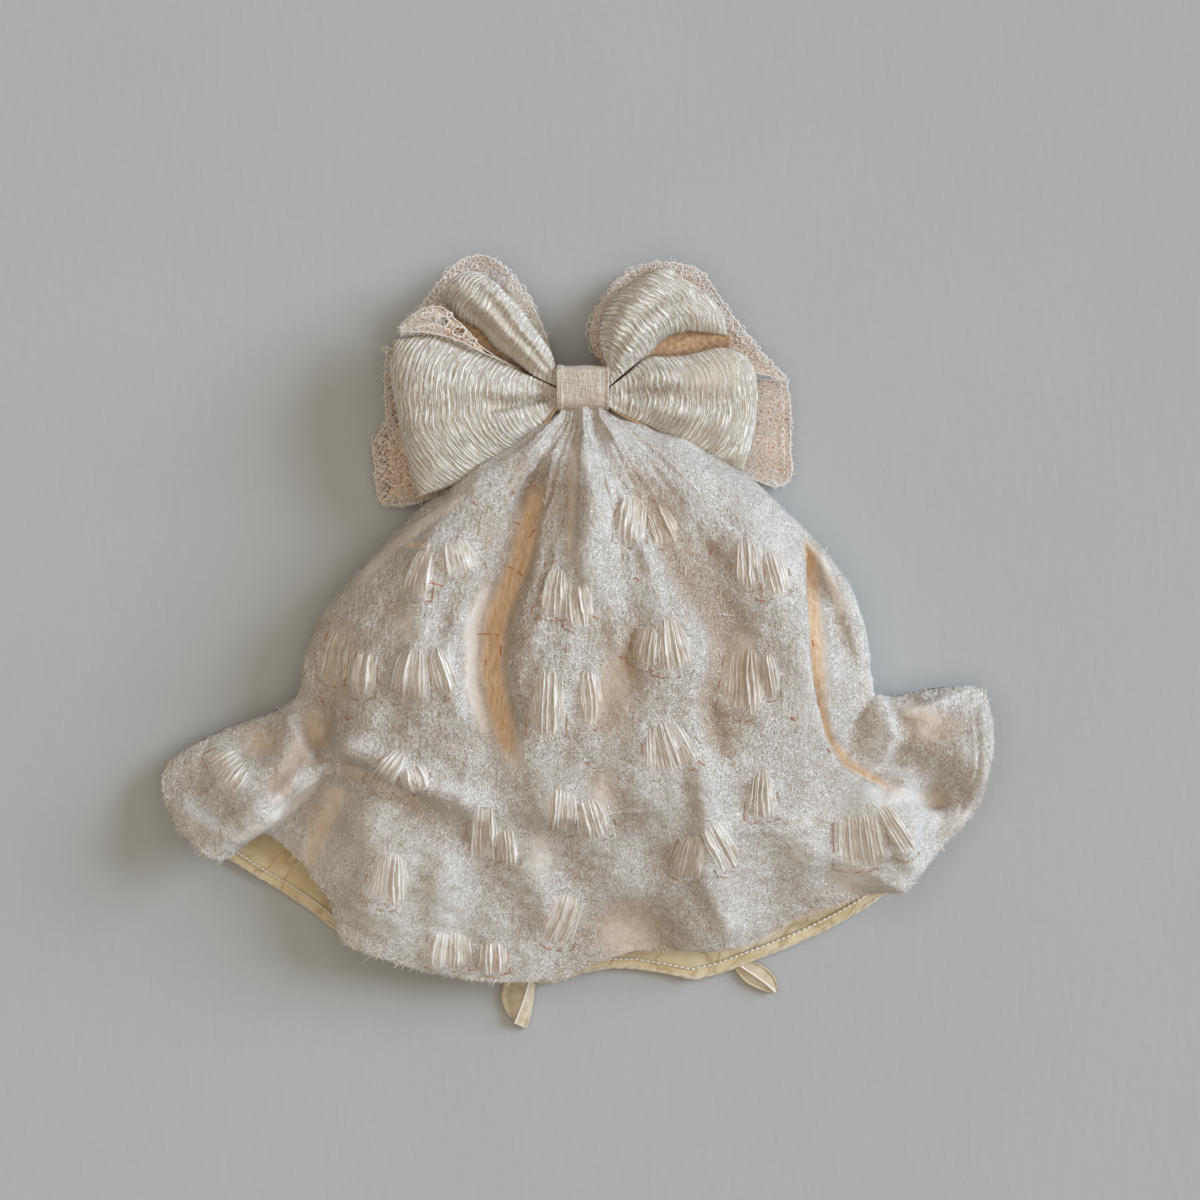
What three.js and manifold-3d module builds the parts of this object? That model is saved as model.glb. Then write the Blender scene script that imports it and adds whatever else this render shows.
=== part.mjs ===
// A baby's sun hat with a big bow, lying on its back with its ties tucked under it.
// Frame: millimetres, +Z up. The cloth is laid out as a fan about the bow's knot: a direction is an angle
// from the hat's centre line, negative to the left, and a distance is measured from the knot's centre.
// The crown's cloth runs from its gathered top, v = 0, to the headline seam, v = 1, and the brim's from
// there to the hem, v = 2. A turn of 0 to PI goes over the front layer from left to right, and PI to
// 2 PI comes back along the back layer, which lies on the table.
import * as THREE from "three";
import Module from "manifold-3d";
import { mergeVertices } from "three/addons/utils/BufferGeometryUtils.js";

const cloth = { outer: 1.4, lining: 1.0, bow: 1.3, net: 1.0, tie: 1.0 };
const clearance = 0.35; // between pieces that are sewn together

// The bow's knot: a band that wraps the gathers, open to the left and right.
const knot = { width: 19.8, depth: 17.2, bottom: 8.5, top: 29, wall: 1.5 };

const gatherRadius = 13; // where the crown's cloth leaves the knot
const headlineRadius = 160;
const poleRadius = 9.3; // the crown's closed end, beside the knot
const backCurl = 0.4; // share of the half section over which the back layer curls up to the side
const lowestFront = 9; // the front layer's height over the table at the bottom of any fold

// The hat's section at each stage of the way down: the angles of its two sides, the heights of the
// front layer's middle and of the side folds, and the height of the back layer.
const stations = [
  { at: 0.0, left: 43, right: 44, top: 24, side: 15, back: 8.5 },
  { at: 0.1, left: 44.5, right: 57, top: 31, side: 13, back: 4 },
  { at: 0.25, left: 46.5, right: 59.6, top: 38, side: 11, back: 0 },
  { at: 0.4, left: 50.6, right: 60, top: 43, side: 10, back: 0 },
  { at: 0.53, left: 51.4, right: 58.6, top: 46, side: 10, back: 0 },
  { at: 0.68, left: 50, right: 56, top: 47, side: 10, back: 0 },
  { at: 0.81, left: 48.6, right: 52, top: 45.5, side: 9.5, back: 0 },
  { at: 0.91, left: 45.6, right: 47.8, top: 43, side: 9, back: 0 },
  { at: 1.0, left: 42.6, right: 43.6, top: 39.5, side: 9, back: 0 },
  { at: 1.15, left: 43.8, right: 45, top: 34, side: 9.5, back: 1.6 },
  { at: 1.5, left: 46.4, right: 49.5, top: 25, side: 10.5, back: 1.6 },
  { at: 1.8, left: 47.8, right: 52.4, top: 18.5, side: 11, back: 1.6 },
  { at: 2.0, left: 48.3, right: 53.5, top: 15, side: 10, back: 1.6 },
];

// The hem's distance from the knot, along the share of the way to the left side, -1, or right side, 1.
const hems = [
  { at: -1.0, front: 212, back: 212 },
  { at: -0.97, front: 220, back: 220 },
  { at: -0.9, front: 226, back: 226 },
  { at: -0.81, front: 224, back: 225 },
  { at: -0.75, front: 206, back: 224 },
  { at: -0.62, front: 209, back: 223 },
  { at: -0.53, front: 216, back: 225 },
  { at: -0.46, front: 228, back: 228 },
  { at: -0.3, front: 228, back: 228 },
  { at: -0.05, front: 224, back: 226 },
  { at: 0.03, front: 217, back: 220.5 },
  { at: 0.12, front: 214.5, back: 222 },
  { at: 0.22, front: 217, back: 229 },
  { at: 0.32, front: 219, back: 227 },
  { at: 0.43, front: 215.5, back: 226 },
  { at: 0.54, front: 218, back: 225 },
  { at: 0.63, front: 222, back: 223 },
  { at: 0.73, front: 220, back: 219 },
  { at: 0.83, front: 217, back: 216 },
  { at: 0.9, front: 209, back: 208 },
  { at: 0.96, front: 199, back: 198.5 },
  { at: 1.0, front: 190, back: 190 },
];

// The front layer's folds. Each starts and ends at a stage, runs from one angle to another, and has a
// half width in degrees, a height (negative in a valley) and a lean that tips it sideways, in degrees.
const folds = [
  { name: "centre gather", from: -0.1, to: 0.5, start: 1, end: 3, width: 9, height: 4, lean: 0 },
  { name: "left gather", from: -0.1, to: 0.62, start: -43, end: -36, width: 7, height: 4, lean: 0 },
  { name: "right gather", from: -0.1, to: 0.45, start: 34, end: 24, width: 8, height: 3, lean: 0 },
  { name: "main valley", from: 0.02, to: 0.98, start: -30, end: -12, width: 4.4, height: -9, lean: 0 },
  { name: "right hollow", from: 0.3, to: 0.85, start: 39, end: 27, width: 6, height: -3.5, lean: 0 },
  { name: "far valley", from: 0.42, to: 1.25, start: 57, end: 35.5, width: 3.8, height: -8, lean: 0 },
  { name: "side dent", from: 0.74, to: 1.25, start: -46, end: -32, width: 3.4, height: -5, lean: 0 },
  { name: "left lobe", from: 1.05, to: 2.4, start: -39.5, end: -42.5, width: 5, height: 10, lean: 2.6 },
  { name: "lobe valley", from: 1.08, to: 2.3, start: -31.5, end: -33, width: 3.6, height: -6, lean: 0 },
  { name: "left billow", from: 0.95, to: 2.4, start: -22, end: -19, width: 7, height: 3, lean: 0 },
  { name: "right billow", from: 0.95, to: 2.4, start: 20, end: 23, width: 8, height: 3, lean: 0 },
  { name: "tip crease", from: 1.02, to: 1.98, start: 36, end: 43.5, width: 3, height: -5, lean: 0 },
  { name: "right tip", from: 1.2, to: 2.4, start: 46, end: 49, width: 4.5, height: 9, lean: -1 },
];
const gathers = { count: 15, height: 1.1, gone: 0.55 }; // small pleats that fade out down the crown
const ruffle = { count: 9, height: 1.6 }; // waves that grow towards the hem

// The bow's four loops. Each is a strip that leaves the knot, fans out between two corners, turns over
// at its outer end and comes back beneath itself. outward is how far the end bows out between the
// corners, and bowFirst and bowLast how far the two sides bow out.
const loops = [
  {
    name: "upper_left", way: -1, firstX: -24, firstY: 37, lastX: -59.5, lastY: 25.5,
    outward: 12.5, bowFirst: 4, bowLast: 0.5, middle: 24, end: 17, belly: 11.5,
  },
  {
    name: "lower_left", way: -1, firstX: -69, firstY: 19.5, lastX: -60, lastY: -41.5,
    outward: 8.5, bowFirst: 0.5, bowLast: 8, middle: 23.5, end: 15, belly: 11,
  },
  {
    name: "upper_right", way: 1, firstX: 9, firstY: 35, lastX: 58.5, lastY: 19.5,
    outward: 14.5, bowFirst: 5, bowLast: 0.5, middle: 24, end: 17, belly: 11.5,
  },
  {
    name: "lower_right", way: 1, firstX: 61.5, firstY: 13.5, lastX: 60.5, lastY: -31.5,
    outward: 1.5, bowFirst: 0.5, bowLast: 1.5, middle: 22, end: 15, belly: 9.5,
  },
];

// The net sheets under the loops, with pierced lace along their outer ends. rest is the height of that
// end over the table, and holes is how many gaps its row of lace has.
const nets = [
  {
    name: "upper_left", way: -1, firstX: -17, firstY: 44, lastX: -68, lastY: 20.5,
    outward: 15, bowFirst: 5, bowLast: 0, rest: 5, holes: 12,
  },
  {
    name: "lower_left", way: -1, firstX: -75.5, firstY: 15, lastX: -76, lastY: -43,
    outward: 3, bowFirst: 0, bowLast: 2, rest: 2, holes: 10,
  },
  {
    name: "upper_right", way: 1, firstX: 4, firstY: 34, lastX: 77, lastY: 5.5,
    outward: 21, bowFirst: 5, bowLast: 0, rest: 5, holes: 14,
  },
  {
    name: "lower_right", way: 1, firstX: 78.5, firstY: 0, lastX: 75, lastY: -35,
    outward: 2, bowFirst: 0, bowLast: 0, rest: 2, holes: 7,
  },
];
const lace = { reach: 0.94, holeRadius: 1.7 };

// The chin ties, tucked under the back brim. Each starts at a point by the headline seam, goes straight
// to where it comes out, and ends at its tip. crest is how high its folded middle stands there.
const ties = [
  { name: "tie_left", rootX: -21, rootY: -180, tipX: -21.5, tipY: -243.5, width: 11, crest: 4.5 },
  { name: "tie_right", rootX: 40, rootY: -180, tipX: 72, tipY: -229.5, width: 8.8, crest: 1.6 },
];

const colours = {
  ivory: 0xe9dfd2, lining: 0xe6d2a4, crinkle: 0xe7e0cf, band: 0xe6cdb8, net: 0xe8c4a8, tie: 0xe3d2ab,
};

const mix = THREE.MathUtils.lerp;
const radians = THREE.MathUtils.degToRad;
const smoothstep = THREE.MathUtils.smoothstep;

// A table's column at x, on a smooth curve through its rows that never overshoots them.
function column(rows, name, x) {
  const last = rows.length - 1;
  if (x <= rows[0].at) return rows[0][name];
  if (x >= rows[last].at) return rows[last][name];
  const rise = (k) => (rows[k + 1][name] - rows[k][name]) / (rows[k + 1].at - rows[k].at);
  const slope = (k) => {
    if (k === 0) return rise(0);
    if (k === last) return rise(last - 1);
    const product = rise(k - 1) * rise(k);
    return product > 0 ? (2 * product) / (rise(k - 1) + rise(k)) : 0;
  };
  const k = rows.findIndex((row) => row.at > x) - 1;
  const step = rows[k + 1].at - rows[k].at;
  const t = (x - rows[k].at) / step;
  const ease = t * t * (3 - 2 * t);
  const bend = step * t * (1 - t) * (slope(k) * (1 - t) - slope(k + 1) * t);
  return mix(rows[k][name], rows[k + 1][name], ease) + bend;
}

// ---- The hat's cloth ----

// How far a fold raises the cloth at an angle and stage, and how far it tips it sideways.
function foldAt(fold, angle, v) {
  const share = (v - fold.from) / (fold.to - fold.from);
  if (share <= 0 || share >= 1) return { height: 0, shift: 0 };
  const away = (angle - mix(fold.start, fold.end, share)) / fold.width;
  const ends = smoothstep(share, 0, 0.25) * smoothstep(1 - share, 0, 0.25);
  const bump = Math.exp(-away * away) * ends;
  return { height: fold.height * bump, shift: fold.lean * bump };
}

// The front layer keeps clear of the back layer, easing into its lowest height.
function keptUp(height) {
  const spare = height - lowestFront;
  const soft = 2;
  return lowestFront + (spare + Math.sqrt(spare * spare + soft * soft)) / 2;
}

// A point of the hat's outer face.
function hatPoint(turn, v) {
  const across = -Math.cos(turn);
  const rise = Math.sin(turn);
  const station = (name) => column(stations, name, v);
  let angle = across * mix(station("left"), station("right"), (1 + across) / 2);
  let radius = mix(gatherRadius, headlineRadius, v);
  if (v > 1) radius = mix(headlineRadius, column(hems, rise >= 0 ? "front" : "back", across), v - 1);
  let height;
  if (rise >= 0) {
    height = mix(station("side"), station("top"), rise);
    const free = smoothstep(rise, 0, 0.5);
    let shift = 0;
    for (const fold of folds) {
      const part = foldAt(fold, angle, v);
      height += part.height * free;
      shift += part.shift * free;
    }
    height += gathers.height * Math.cos(gathers.count * across * Math.PI) * free
      * (1 - smoothstep(v, 0, gathers.gone));
    height += ruffle.height * Math.sin(ruffle.count * across * Math.PI) * free * smoothstep(v, 1, 2);
    if (v > 0.3) height = mix(height, keptUp(height), smoothstep(v, 0.3, 0.5) * free);
    angle += shift;
  } else {
    const curl = 1 - Math.min(1, -rise / backCurl);
    height = mix(station("back"), station("side"), curl * curl);
  }
  const direction = radians(angle);
  return new THREE.Vector3(radius * Math.sin(direction), -radius * Math.cos(direction), height);
}

// A point a depth inside the outer face.
function hatInside(turn, v, depth) {
  const small = 2e-3;
  const across = hatPoint(turn + small, v).sub(hatPoint(turn - small, v));
  const down = hatPoint(turn, v + small).sub(hatPoint(turn, v - small));
  return hatPoint(turn, v).addScaledVector(down.cross(across).normalize(), -depth);
}

// The turns at which the cloth is divided: close together at the sides, even over the middle.
function turnsAround(frontSteps, backSteps) {
  const evenness = 0.55;
  const spread = (t) => mix(Math.PI * t, Math.acos(1 - 2 * t), evenness);
  const turns = [];
  for (let i = 0; i < frontSteps; i++) turns.push(spread(i / frontSteps));
  for (let i = 0; i < backSteps; i++) turns.push(Math.PI * (1 + i / backSteps));
  return turns;
}
const around = turnsAround(42, 16);

// A closed ring of cloth through a list of stages, between two depths. Poles close its upper end.
function hatShell({ stages, outside, inside, poles }) {
  const points = [];
  const faces = [];
  const count = around.length;
  const rows = stages.length - 1;
  const place = (layer, row, i) => (layer * (rows + 1) + row) * count + (i % count);
  for (const depth of [outside, inside])
    for (const stage of stages)
      for (const turn of around) points.push(hatInside(turn, stage, depth));
  const quad = (a, b, c, d) => faces.push([a, b, c], [a, c, d]);
  for (let i = 0; i < count; i++) {
    for (let row = 0; row < rows; row++) {
      quad(place(0, row, i), place(0, row + 1, i), place(0, row + 1, i + 1), place(0, row, i + 1));
      quad(place(1, row, i), place(1, row, i + 1), place(1, row + 1, i + 1), place(1, row + 1, i));
    }
    quad(place(0, rows, i), place(1, rows, i), place(1, rows, i + 1), place(0, rows, i + 1));
    if (!poles) quad(place(0, 0, i), place(0, 0, i + 1), place(1, 0, i + 1), place(1, 0, i));
  }
  if (poles)
    poles.forEach((pole, layer) => {
      points.push(pole);
      const tip = points.length - 1;
      for (let i = 0; i < count; i++) {
        const [a, b] = [place(layer, 0, i), place(layer, 0, i + 1)];
        faces.push(layer === 0 ? [tip, a, b] : [tip, b, a]);
      }
    });
  return solid(points, faces);
}

function crown() {
  const pole = (wall) => new THREE.Vector3(0, -poleRadius - wall, (knot.top + knot.bottom) / 2 - 2);
  const rows = 11;
  const stages = Array.from({ length: rows + 1 }, (_, row) => row / rows);
  return hatShell({ stages, outside: 0, inside: cloth.outer, poles: [pole(0), pole(cloth.outer)] });
}

const narrowestBrim = 30; // at the tip of the right side
const seam = clearance / narrowestBrim;
const brimStages = [1.2, 1.4, 1.6, 1.8];

function brim() {
  return hatShell({ stages: [1 + seam, ...brimStages, 2], outside: 0, inside: cloth.outer });
}

function brimLining() {
  const outside = cloth.outer + clearance;
  return hatShell({
    stages: [1.03, ...brimStages, 1.985], outside, inside: outside + cloth.lining,
  });
}

// ---- The bow ----

// Where the loops and nets pass through the knot: how near its middle they start, how far from its
// centre line their outer and inner sides lie, the share of their length that is inside it, and the
// heights of the loops' middle, of half their thickness, and of the nets.
const neck = { x: 3.2, half: 5.6, split: 0.5, share: 0.1, middle: 20.3, thick: 4.6, net: 12.1 };

// A fan's place in plan: share is the way across from its first side to its last, and reach the way out.
function fanPoint(fan, share, reach) {
  const upper = fan.name.startsWith("upper");
  const neckY = upper ? mix(neck.half, neck.split, share) : mix(-neck.split, -neck.half, share);
  const root = new THREE.Vector2(fan.way * neck.x, neckY);
  const mouth = new THREE.Vector2(fan.way * (knot.width / 2 + 1.1), neckY);
  if (reach <= neck.share) return root.lerp(mouth, reach / neck.share);
  const first = new THREE.Vector2(fan.firstX, fan.firstY);
  const last = new THREE.Vector2(fan.lastX, fan.lastY);
  const outward = new THREE.Vector2(last.y - first.y, first.x - last.x).normalize();
  if (outward.dot(first) < 0) outward.negate();
  const end = first.clone().lerp(last, share);
  end.addScaledVector(outward, fan.outward * Math.sin(Math.PI * share) ** 0.8);
  const out = (reach - neck.share) / (1 - neck.share);
  const sideways = last.clone().sub(first).normalize();
  const bow = mix(-fan.bowFirst, fan.bowLast, share) * Math.sin(Math.PI * out ** 1.3);
  return mouth.lerp(end, out).addScaledVector(sideways, bow);
}

// A closed sheet between two faces, each a function of the share of the way across and of the row.
function sheet(columns, rows, outer, inner) {
  const points = [];
  const faces = [];
  for (const at of [outer, inner])
    for (let j = 0; j <= rows; j++)
      for (let i = 0; i <= columns; i++) points.push(at(i / columns, j));
  const place = (layer, i, j) => (layer * (rows + 1) + j) * (columns + 1) + i;
  const quad = (a, b, c, d) => faces.push([a, b, c], [a, c, d]);
  for (let j = 0; j < rows; j++)
    for (let i = 0; i < columns; i++) {
      quad(place(0, i, j), place(0, i + 1, j), place(0, i + 1, j + 1), place(0, i, j + 1));
      quad(place(1, i, j), place(1, i, j + 1), place(1, i + 1, j + 1), place(1, i + 1, j));
    }
  for (let i = 0; i < columns; i++) {
    quad(place(0, i, 0), place(1, i, 0), place(1, i + 1, 0), place(0, i + 1, 0));
    quad(place(0, i, rows), place(0, i + 1, rows), place(1, i + 1, rows), place(1, i, rows));
  }
  for (let j = 0; j < rows; j++) {
    quad(place(0, 0, j), place(0, 0, j + 1), place(1, 0, j + 1), place(1, 0, j));
    quad(place(0, columns, j), place(1, columns, j), place(1, columns, j + 1), place(0, columns, j + 1));
  }
  return solid(points, faces);
}

// A point of a loop's face: way goes from 0, at the knot above, through 1, the outer end, to 2, below.
function loopPoint(loop, share, way) {
  const reach = way <= 1 ? way : 2 - way;
  const plan = fanPoint(loop, share, reach);
  const out = Math.max(0, reach - neck.share) / (1 - neck.share);
  const lengthwise = Math.sin(Math.PI * out ** 0.75) ** 0.8;
  const edgeRoll = 1 - 0.45 * Math.abs(2 * share - 1) ** 4;
  const half = mix(neck.thick, loop.belly * edgeRoll, lengthwise) * Math.sqrt(Math.max(0, 1 - reach ** 6));
  const pleat = 0.9 * Math.cos(6 * Math.PI * share) * Math.sin(Math.PI * out);
  const lifted = mix(neck.middle, loop.middle, smoothstep(out, 0, 0.45));
  const middle = mix(lifted, loop.end, smoothstep(out, 0.4, 1));
  return new THREE.Vector3(plan.x, plan.y, middle + (way <= 1 ? half : -half) + pleat);
}

// Where the loop is divided on its way out, and again on its way back.
const reaches = [0, 0.1, 0.25, 0.45, 0.65, 0.82, 0.94, 0.99];

function bowLoop(loop) {
  const ways = [...reaches, ...reaches.map((reach) => 2 - reach).reverse()];
  const small = 1e-3;
  const outwards = (share, j) => {
    const near = THREE.MathUtils.clamp(share, small, 1 - small);
    const across = loopPoint(loop, near + small, ways[j]).sub(loopPoint(loop, near - small, ways[j]));
    const before = loopPoint(loop, near, ways[Math.max(j - 1, 0)]);
    const along = loopPoint(loop, near, ways[Math.min(j + 1, ways.length - 1)]).sub(before);
    return along.cross(across).normalize().multiplyScalar(-loop.way);
  };
  const outer = (share, j) => loopPoint(loop, share, ways[j]);
  const inner = (share, j) => outer(share, j).addScaledVector(outwards(share, j), -cloth.bow);
  return sheet(9, ways.length - 1, outer, inner);
}

// A point of a net's upper face: it slopes from the knot down to the table under the loop.
function netPoint(net, share, reach) {
  const plan = fanPoint(net, share, reach);
  const wave = 0.5 * Math.sin(5 * Math.PI * share) * smoothstep(reach, 0.4, 1);
  const height = mix(neck.net, net.rest, smoothstep(reach, 0.08, 0.55)) + wave;
  return new THREE.Vector3(plan.x, plan.y, height + cloth.net);
}

function bowNet(net) {
  const stops = [0, 0.1, 0.28, 0.48, 0.68, 0.88, 1];
  const upper = (share, j) => netPoint(net, share, stops[j]);
  const lower = (share, j) => upper(share, j).add(new THREE.Vector3(0, 0, -cloth.net));
  let made = sheet(8, stops.length - 1, upper, lower);
  for (let i = 0; i < net.holes; i++) {
    const share = (i + 0.7) / (net.holes + 0.4);
    const hole = new THREE.CylinderGeometry(lace.holeRadius, lace.holeRadius, 12, 6);
    hole.rotateX(Math.PI / 2);
    const { x, y, z } = netPoint(net, share, lace.reach);
    hole.translate(x, y, z);
    made = made.subtract(fromGeometry(hole));
  }
  return made;
}

// The band round the gathers: a tube along X with rounded corners, a little wider in its middle.
function bowKnot() {
  const steps = 20;
  const columns = [-1, 0, 1];
  const points = [];
  const faces = [];
  const height = knot.top - knot.bottom;
  const place = (layer, j, i) => (layer * columns.length + j) * steps + (i % steps);
  for (const wall of [0, knot.wall])
    for (const side of columns)
      for (let i = 0; i < steps; i++) {
        const turn = (2 * Math.PI * i) / steps;
        const squareness = 0.55; // 1 is an ellipse, and less is squarer
        const rounded = (value) => Math.sign(value) * Math.abs(value) ** squareness;
        const swell = 0.4 * (1 - side * side);
        points.push(new THREE.Vector3(
          (side * knot.width) / 2,
          rounded(Math.cos(turn)) * (knot.depth / 2 - wall),
          (knot.top + knot.bottom) / 2 + rounded(Math.sin(turn)) * (height / 2 - wall + swell - 0.4),
        ));
      }
  const quad = (a, b, c, d) => faces.push([a, b, c], [a, c, d]);
  const last = columns.length - 1;
  for (let i = 0; i < steps; i++) {
    for (let j = 0; j < last; j++) {
      quad(place(0, j, i), place(0, j + 1, i), place(0, j + 1, i + 1), place(0, j, i + 1));
      quad(place(1, j, i), place(1, j, i + 1), place(1, j + 1, i + 1), place(1, j + 1, i));
    }
    quad(place(0, 0, i), place(0, 0, i + 1), place(1, 0, i + 1), place(1, 0, i));
    quad(place(0, last, i), place(1, last, i), place(1, last, i + 1), place(0, last, i + 1));
  }
  return solid(points, faces);
}

// ---- The ties ----

// A ribbon that lies flat under the brim, and whose free end is folded along its middle.
function tie({ rootX, rootY, tipX, tipY, width, crest }) {
  const root = new THREE.Vector2(rootX, rootY);
  const tip = new THREE.Vector2(tipX, tipY);
  const along = tip.clone().sub(root);
  const sideways = new THREE.Vector2(-along.y, along.x).normalize();
  const rows = 14;
  const upper = (share, j) => {
    const out = j / rows;
    const taper = mix(1, 0.35, smoothstep(out, 0.86, 1) ** 2);
    const place = root.clone().lerp(tip, out).addScaledVector(sideways, (share - 0.5) * width * taper);
    const fold = crest * (1 - Math.abs(2 * share - 1)) * smoothstep(out, 0.78, 0.9);
    return new THREE.Vector3(place.x, place.y, cloth.tie + fold);
  };
  const lower = (share, j) => upper(share, j).add(new THREE.Vector3(0, 0, -cloth.tie));
  return sheet(4, rows, upper, lower);
}

// ---- Making solids ----

const manifold = await Module();
manifold.setup();

// A closed solid from points and the triangles between them, with its faces turned outwards.
function solid(points, faces) {
  return toManifold(new Float32Array(points.flatMap((p) => [p.x, p.y, p.z])), faces.flat());
}

function fromGeometry(geometry) {
  geometry.deleteAttribute("normal");
  geometry.deleteAttribute("uv");
  const merged = mergeVertices(geometry);
  return toManifold(merged.attributes.position.array, Array.from(merged.index.array));
}

function toManifold(vertProperties, corners) {
  const build = (list) => new manifold.Manifold(
    new manifold.Mesh({ numProp: 3, vertProperties, triVerts: new Uint32Array(list) }),
  );
  const made = build(corners);
  if (made.volume() >= 0) return made;
  const turned = [];
  for (let i = 0; i < corners.length; i += 3) turned.push(corners[i], corners[i + 2], corners[i + 1]);
  return build(turned);
}

// ---- Assembly ----

const pieces = new THREE.Group();

function add(name, made, colour, roughness = 0.85) {
  const { vertProperties, triVerts } = made.getMesh();
  const geometry = new THREE.BufferGeometry();
  geometry.setAttribute("position", new THREE.BufferAttribute(new Float32Array(vertProperties), 3));
  geometry.setIndex(new THREE.BufferAttribute(new Uint32Array(triVerts), 1));
  geometry.computeVertexNormals();
  const material = new THREE.MeshStandardMaterial({ color: colour, roughness, metalness: 0 });
  const mesh = new THREE.Mesh(geometry, material);
  mesh.name = name;
  pieces.add(mesh);
}

add("crown", crown(), colours.ivory);
add("brim", brim(), colours.ivory);
add("brim_lining", brimLining(), colours.lining);
add("bow_knot", bowKnot(), colours.band, 0.7);
for (const loop of loops) add(`bow_loop_${loop.name}`, bowLoop(loop), colours.crinkle);
for (const net of nets) add(`bow_net_${net.name}`, bowNet(net), colours.net);
for (const piece of ties) add(piece.name, tie(piece), colours.tie, 0.6);

const hat = new THREE.Group();
hat.name = "baby_sun_hat";
hat.add(pieces);
const box = new THREE.Box3().setFromObject(pieces);
pieces.position.set(-(box.min.x + box.max.x) / 2, -(box.min.y + box.max.y) / 2, -box.min.z);

export default hat;
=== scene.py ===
"""A baby's sun hat with a big bow, laid on its back on a pale floor and seen from straight above.

The cloth is laid out as a fan about the bow's knot, in millimetres, as in the part's source: a direction
is an angle from the hat's centre line, negative to the left, and a distance is measured from the knot.
The crown's cloth runs from its gathered top, v = 0, to the headline seam, v = 1, and the brim's from
there to the hem, v = 2. A turn of 0 to pi goes over the front layer from left to right, and pi to 2 pi
comes back along the back layer.
"""
import math

import bpy
import numpy as np
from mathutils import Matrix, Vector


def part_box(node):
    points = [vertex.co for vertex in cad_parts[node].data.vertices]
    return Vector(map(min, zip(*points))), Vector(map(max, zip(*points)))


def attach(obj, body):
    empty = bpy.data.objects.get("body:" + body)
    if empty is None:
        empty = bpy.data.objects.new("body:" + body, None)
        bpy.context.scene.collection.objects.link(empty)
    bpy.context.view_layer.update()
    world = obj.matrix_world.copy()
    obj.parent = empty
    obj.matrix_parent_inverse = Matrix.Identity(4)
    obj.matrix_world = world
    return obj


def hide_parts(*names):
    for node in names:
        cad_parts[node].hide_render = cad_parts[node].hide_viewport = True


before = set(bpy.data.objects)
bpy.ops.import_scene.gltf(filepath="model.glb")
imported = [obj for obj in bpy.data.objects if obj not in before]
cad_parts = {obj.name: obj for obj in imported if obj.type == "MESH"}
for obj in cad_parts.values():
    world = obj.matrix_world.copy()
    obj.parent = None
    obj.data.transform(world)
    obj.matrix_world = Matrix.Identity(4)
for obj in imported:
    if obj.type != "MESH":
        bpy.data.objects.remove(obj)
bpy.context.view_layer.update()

MM = 0.001
PI = math.pi
knot_low, knot_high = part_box("bow_knot")
CENTRE = np.array([(knot_low[0] + knot_high[0]) / 2, (knot_low[1] + knot_high[1]) / 2, 0.0])


# ---- Small tools ----

def table(names, rows):
    """A table's columns by name."""
    return dict(zip(names.split(), np.array(rows, float).T))


def mix(a, b, t):
    return a + (b - a) * t


def smoothstep(x, low, high):
    t = np.clip((x - low) / (high - low), 0, 1)
    return t * t * (3 - 2 * t)


def column(rows, name, x):
    """A table's column at x, on a smooth curve through its rows that never overshoots them."""
    at, value = rows["at"], rows[name]
    step = np.diff(at)
    rise = np.diff(value) / step
    slope = np.concatenate([rise[:1], np.zeros(len(at) - 2), rise[-1:]])
    product = rise[:-1] * rise[1:]
    both = np.where(product > 0, rise[:-1] + rise[1:], 1)
    slope[1:-1] = np.where(product > 0, 2 * product / both, 0)
    x = np.clip(x, at[0], at[-1])
    k = np.clip(np.searchsorted(at, x, side="right") - 1, 0, len(at) - 2)
    t = (x - at[k]) / step[k]
    bend = step[k] * t * (1 - t) * (slope[k] * (1 - t) - slope[k + 1] * t)
    return mix(value[k], value[k + 1], t * t * (3 - 2 * t)) + bend


def unit(vectors):
    return vectors / np.maximum(np.linalg.norm(vectors, axis=-1, keepdims=True), 1e-9)


class Waves:
    """A smooth random field over the plan, made of waves with lengths between two values in mm."""

    def __init__(self, seed, shortest, longest, count=16):
        random = np.random.default_rng(seed)
        heading = random.uniform(0, 2 * PI, count)
        number = 2 * PI / np.exp(random.uniform(math.log(shortest), math.log(longest), count))
        self.terms = list(zip(number * np.cos(heading), number * np.sin(heading),
                              random.uniform(0, 2 * PI, count)))

    def __call__(self, x, y):
        total = sum(np.sin(across * x + along * y + phase) for across, along, phase in self.terms)
        return total * math.sqrt(2 / len(self.terms))


def beside_path(x, y, path):
    """How far a place is from a path over the plan, on which side (1 is its left), and how far along."""
    best = np.full(np.shape(x), np.inf)
    side, along = np.ones(np.shape(x)), np.zeros(np.shape(x))
    spans = [math.dist(start, end) for start, end in zip(path, path[1:])]
    done = 0.0
    for (x0, y0), (x1, y1), span in zip(path, path[1:], spans):
        dx, dy = (x1 - x0) / span, (y1 - y0) / span
        t = np.clip((x - x0) * dx + (y - y0) * dy, 0, span)
        away = np.hypot(x - x0 - t * dx, y - y0 - t * dy)
        nearer = away < best
        best = np.where(nearer, away, best)
        side = np.where(nearer, np.sign(dx * (y - y0) - dy * (x - x0)), side)
        along = np.where(nearer, (done + t) / sum(spans), along)
        done += span
    return best, side, along


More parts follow.
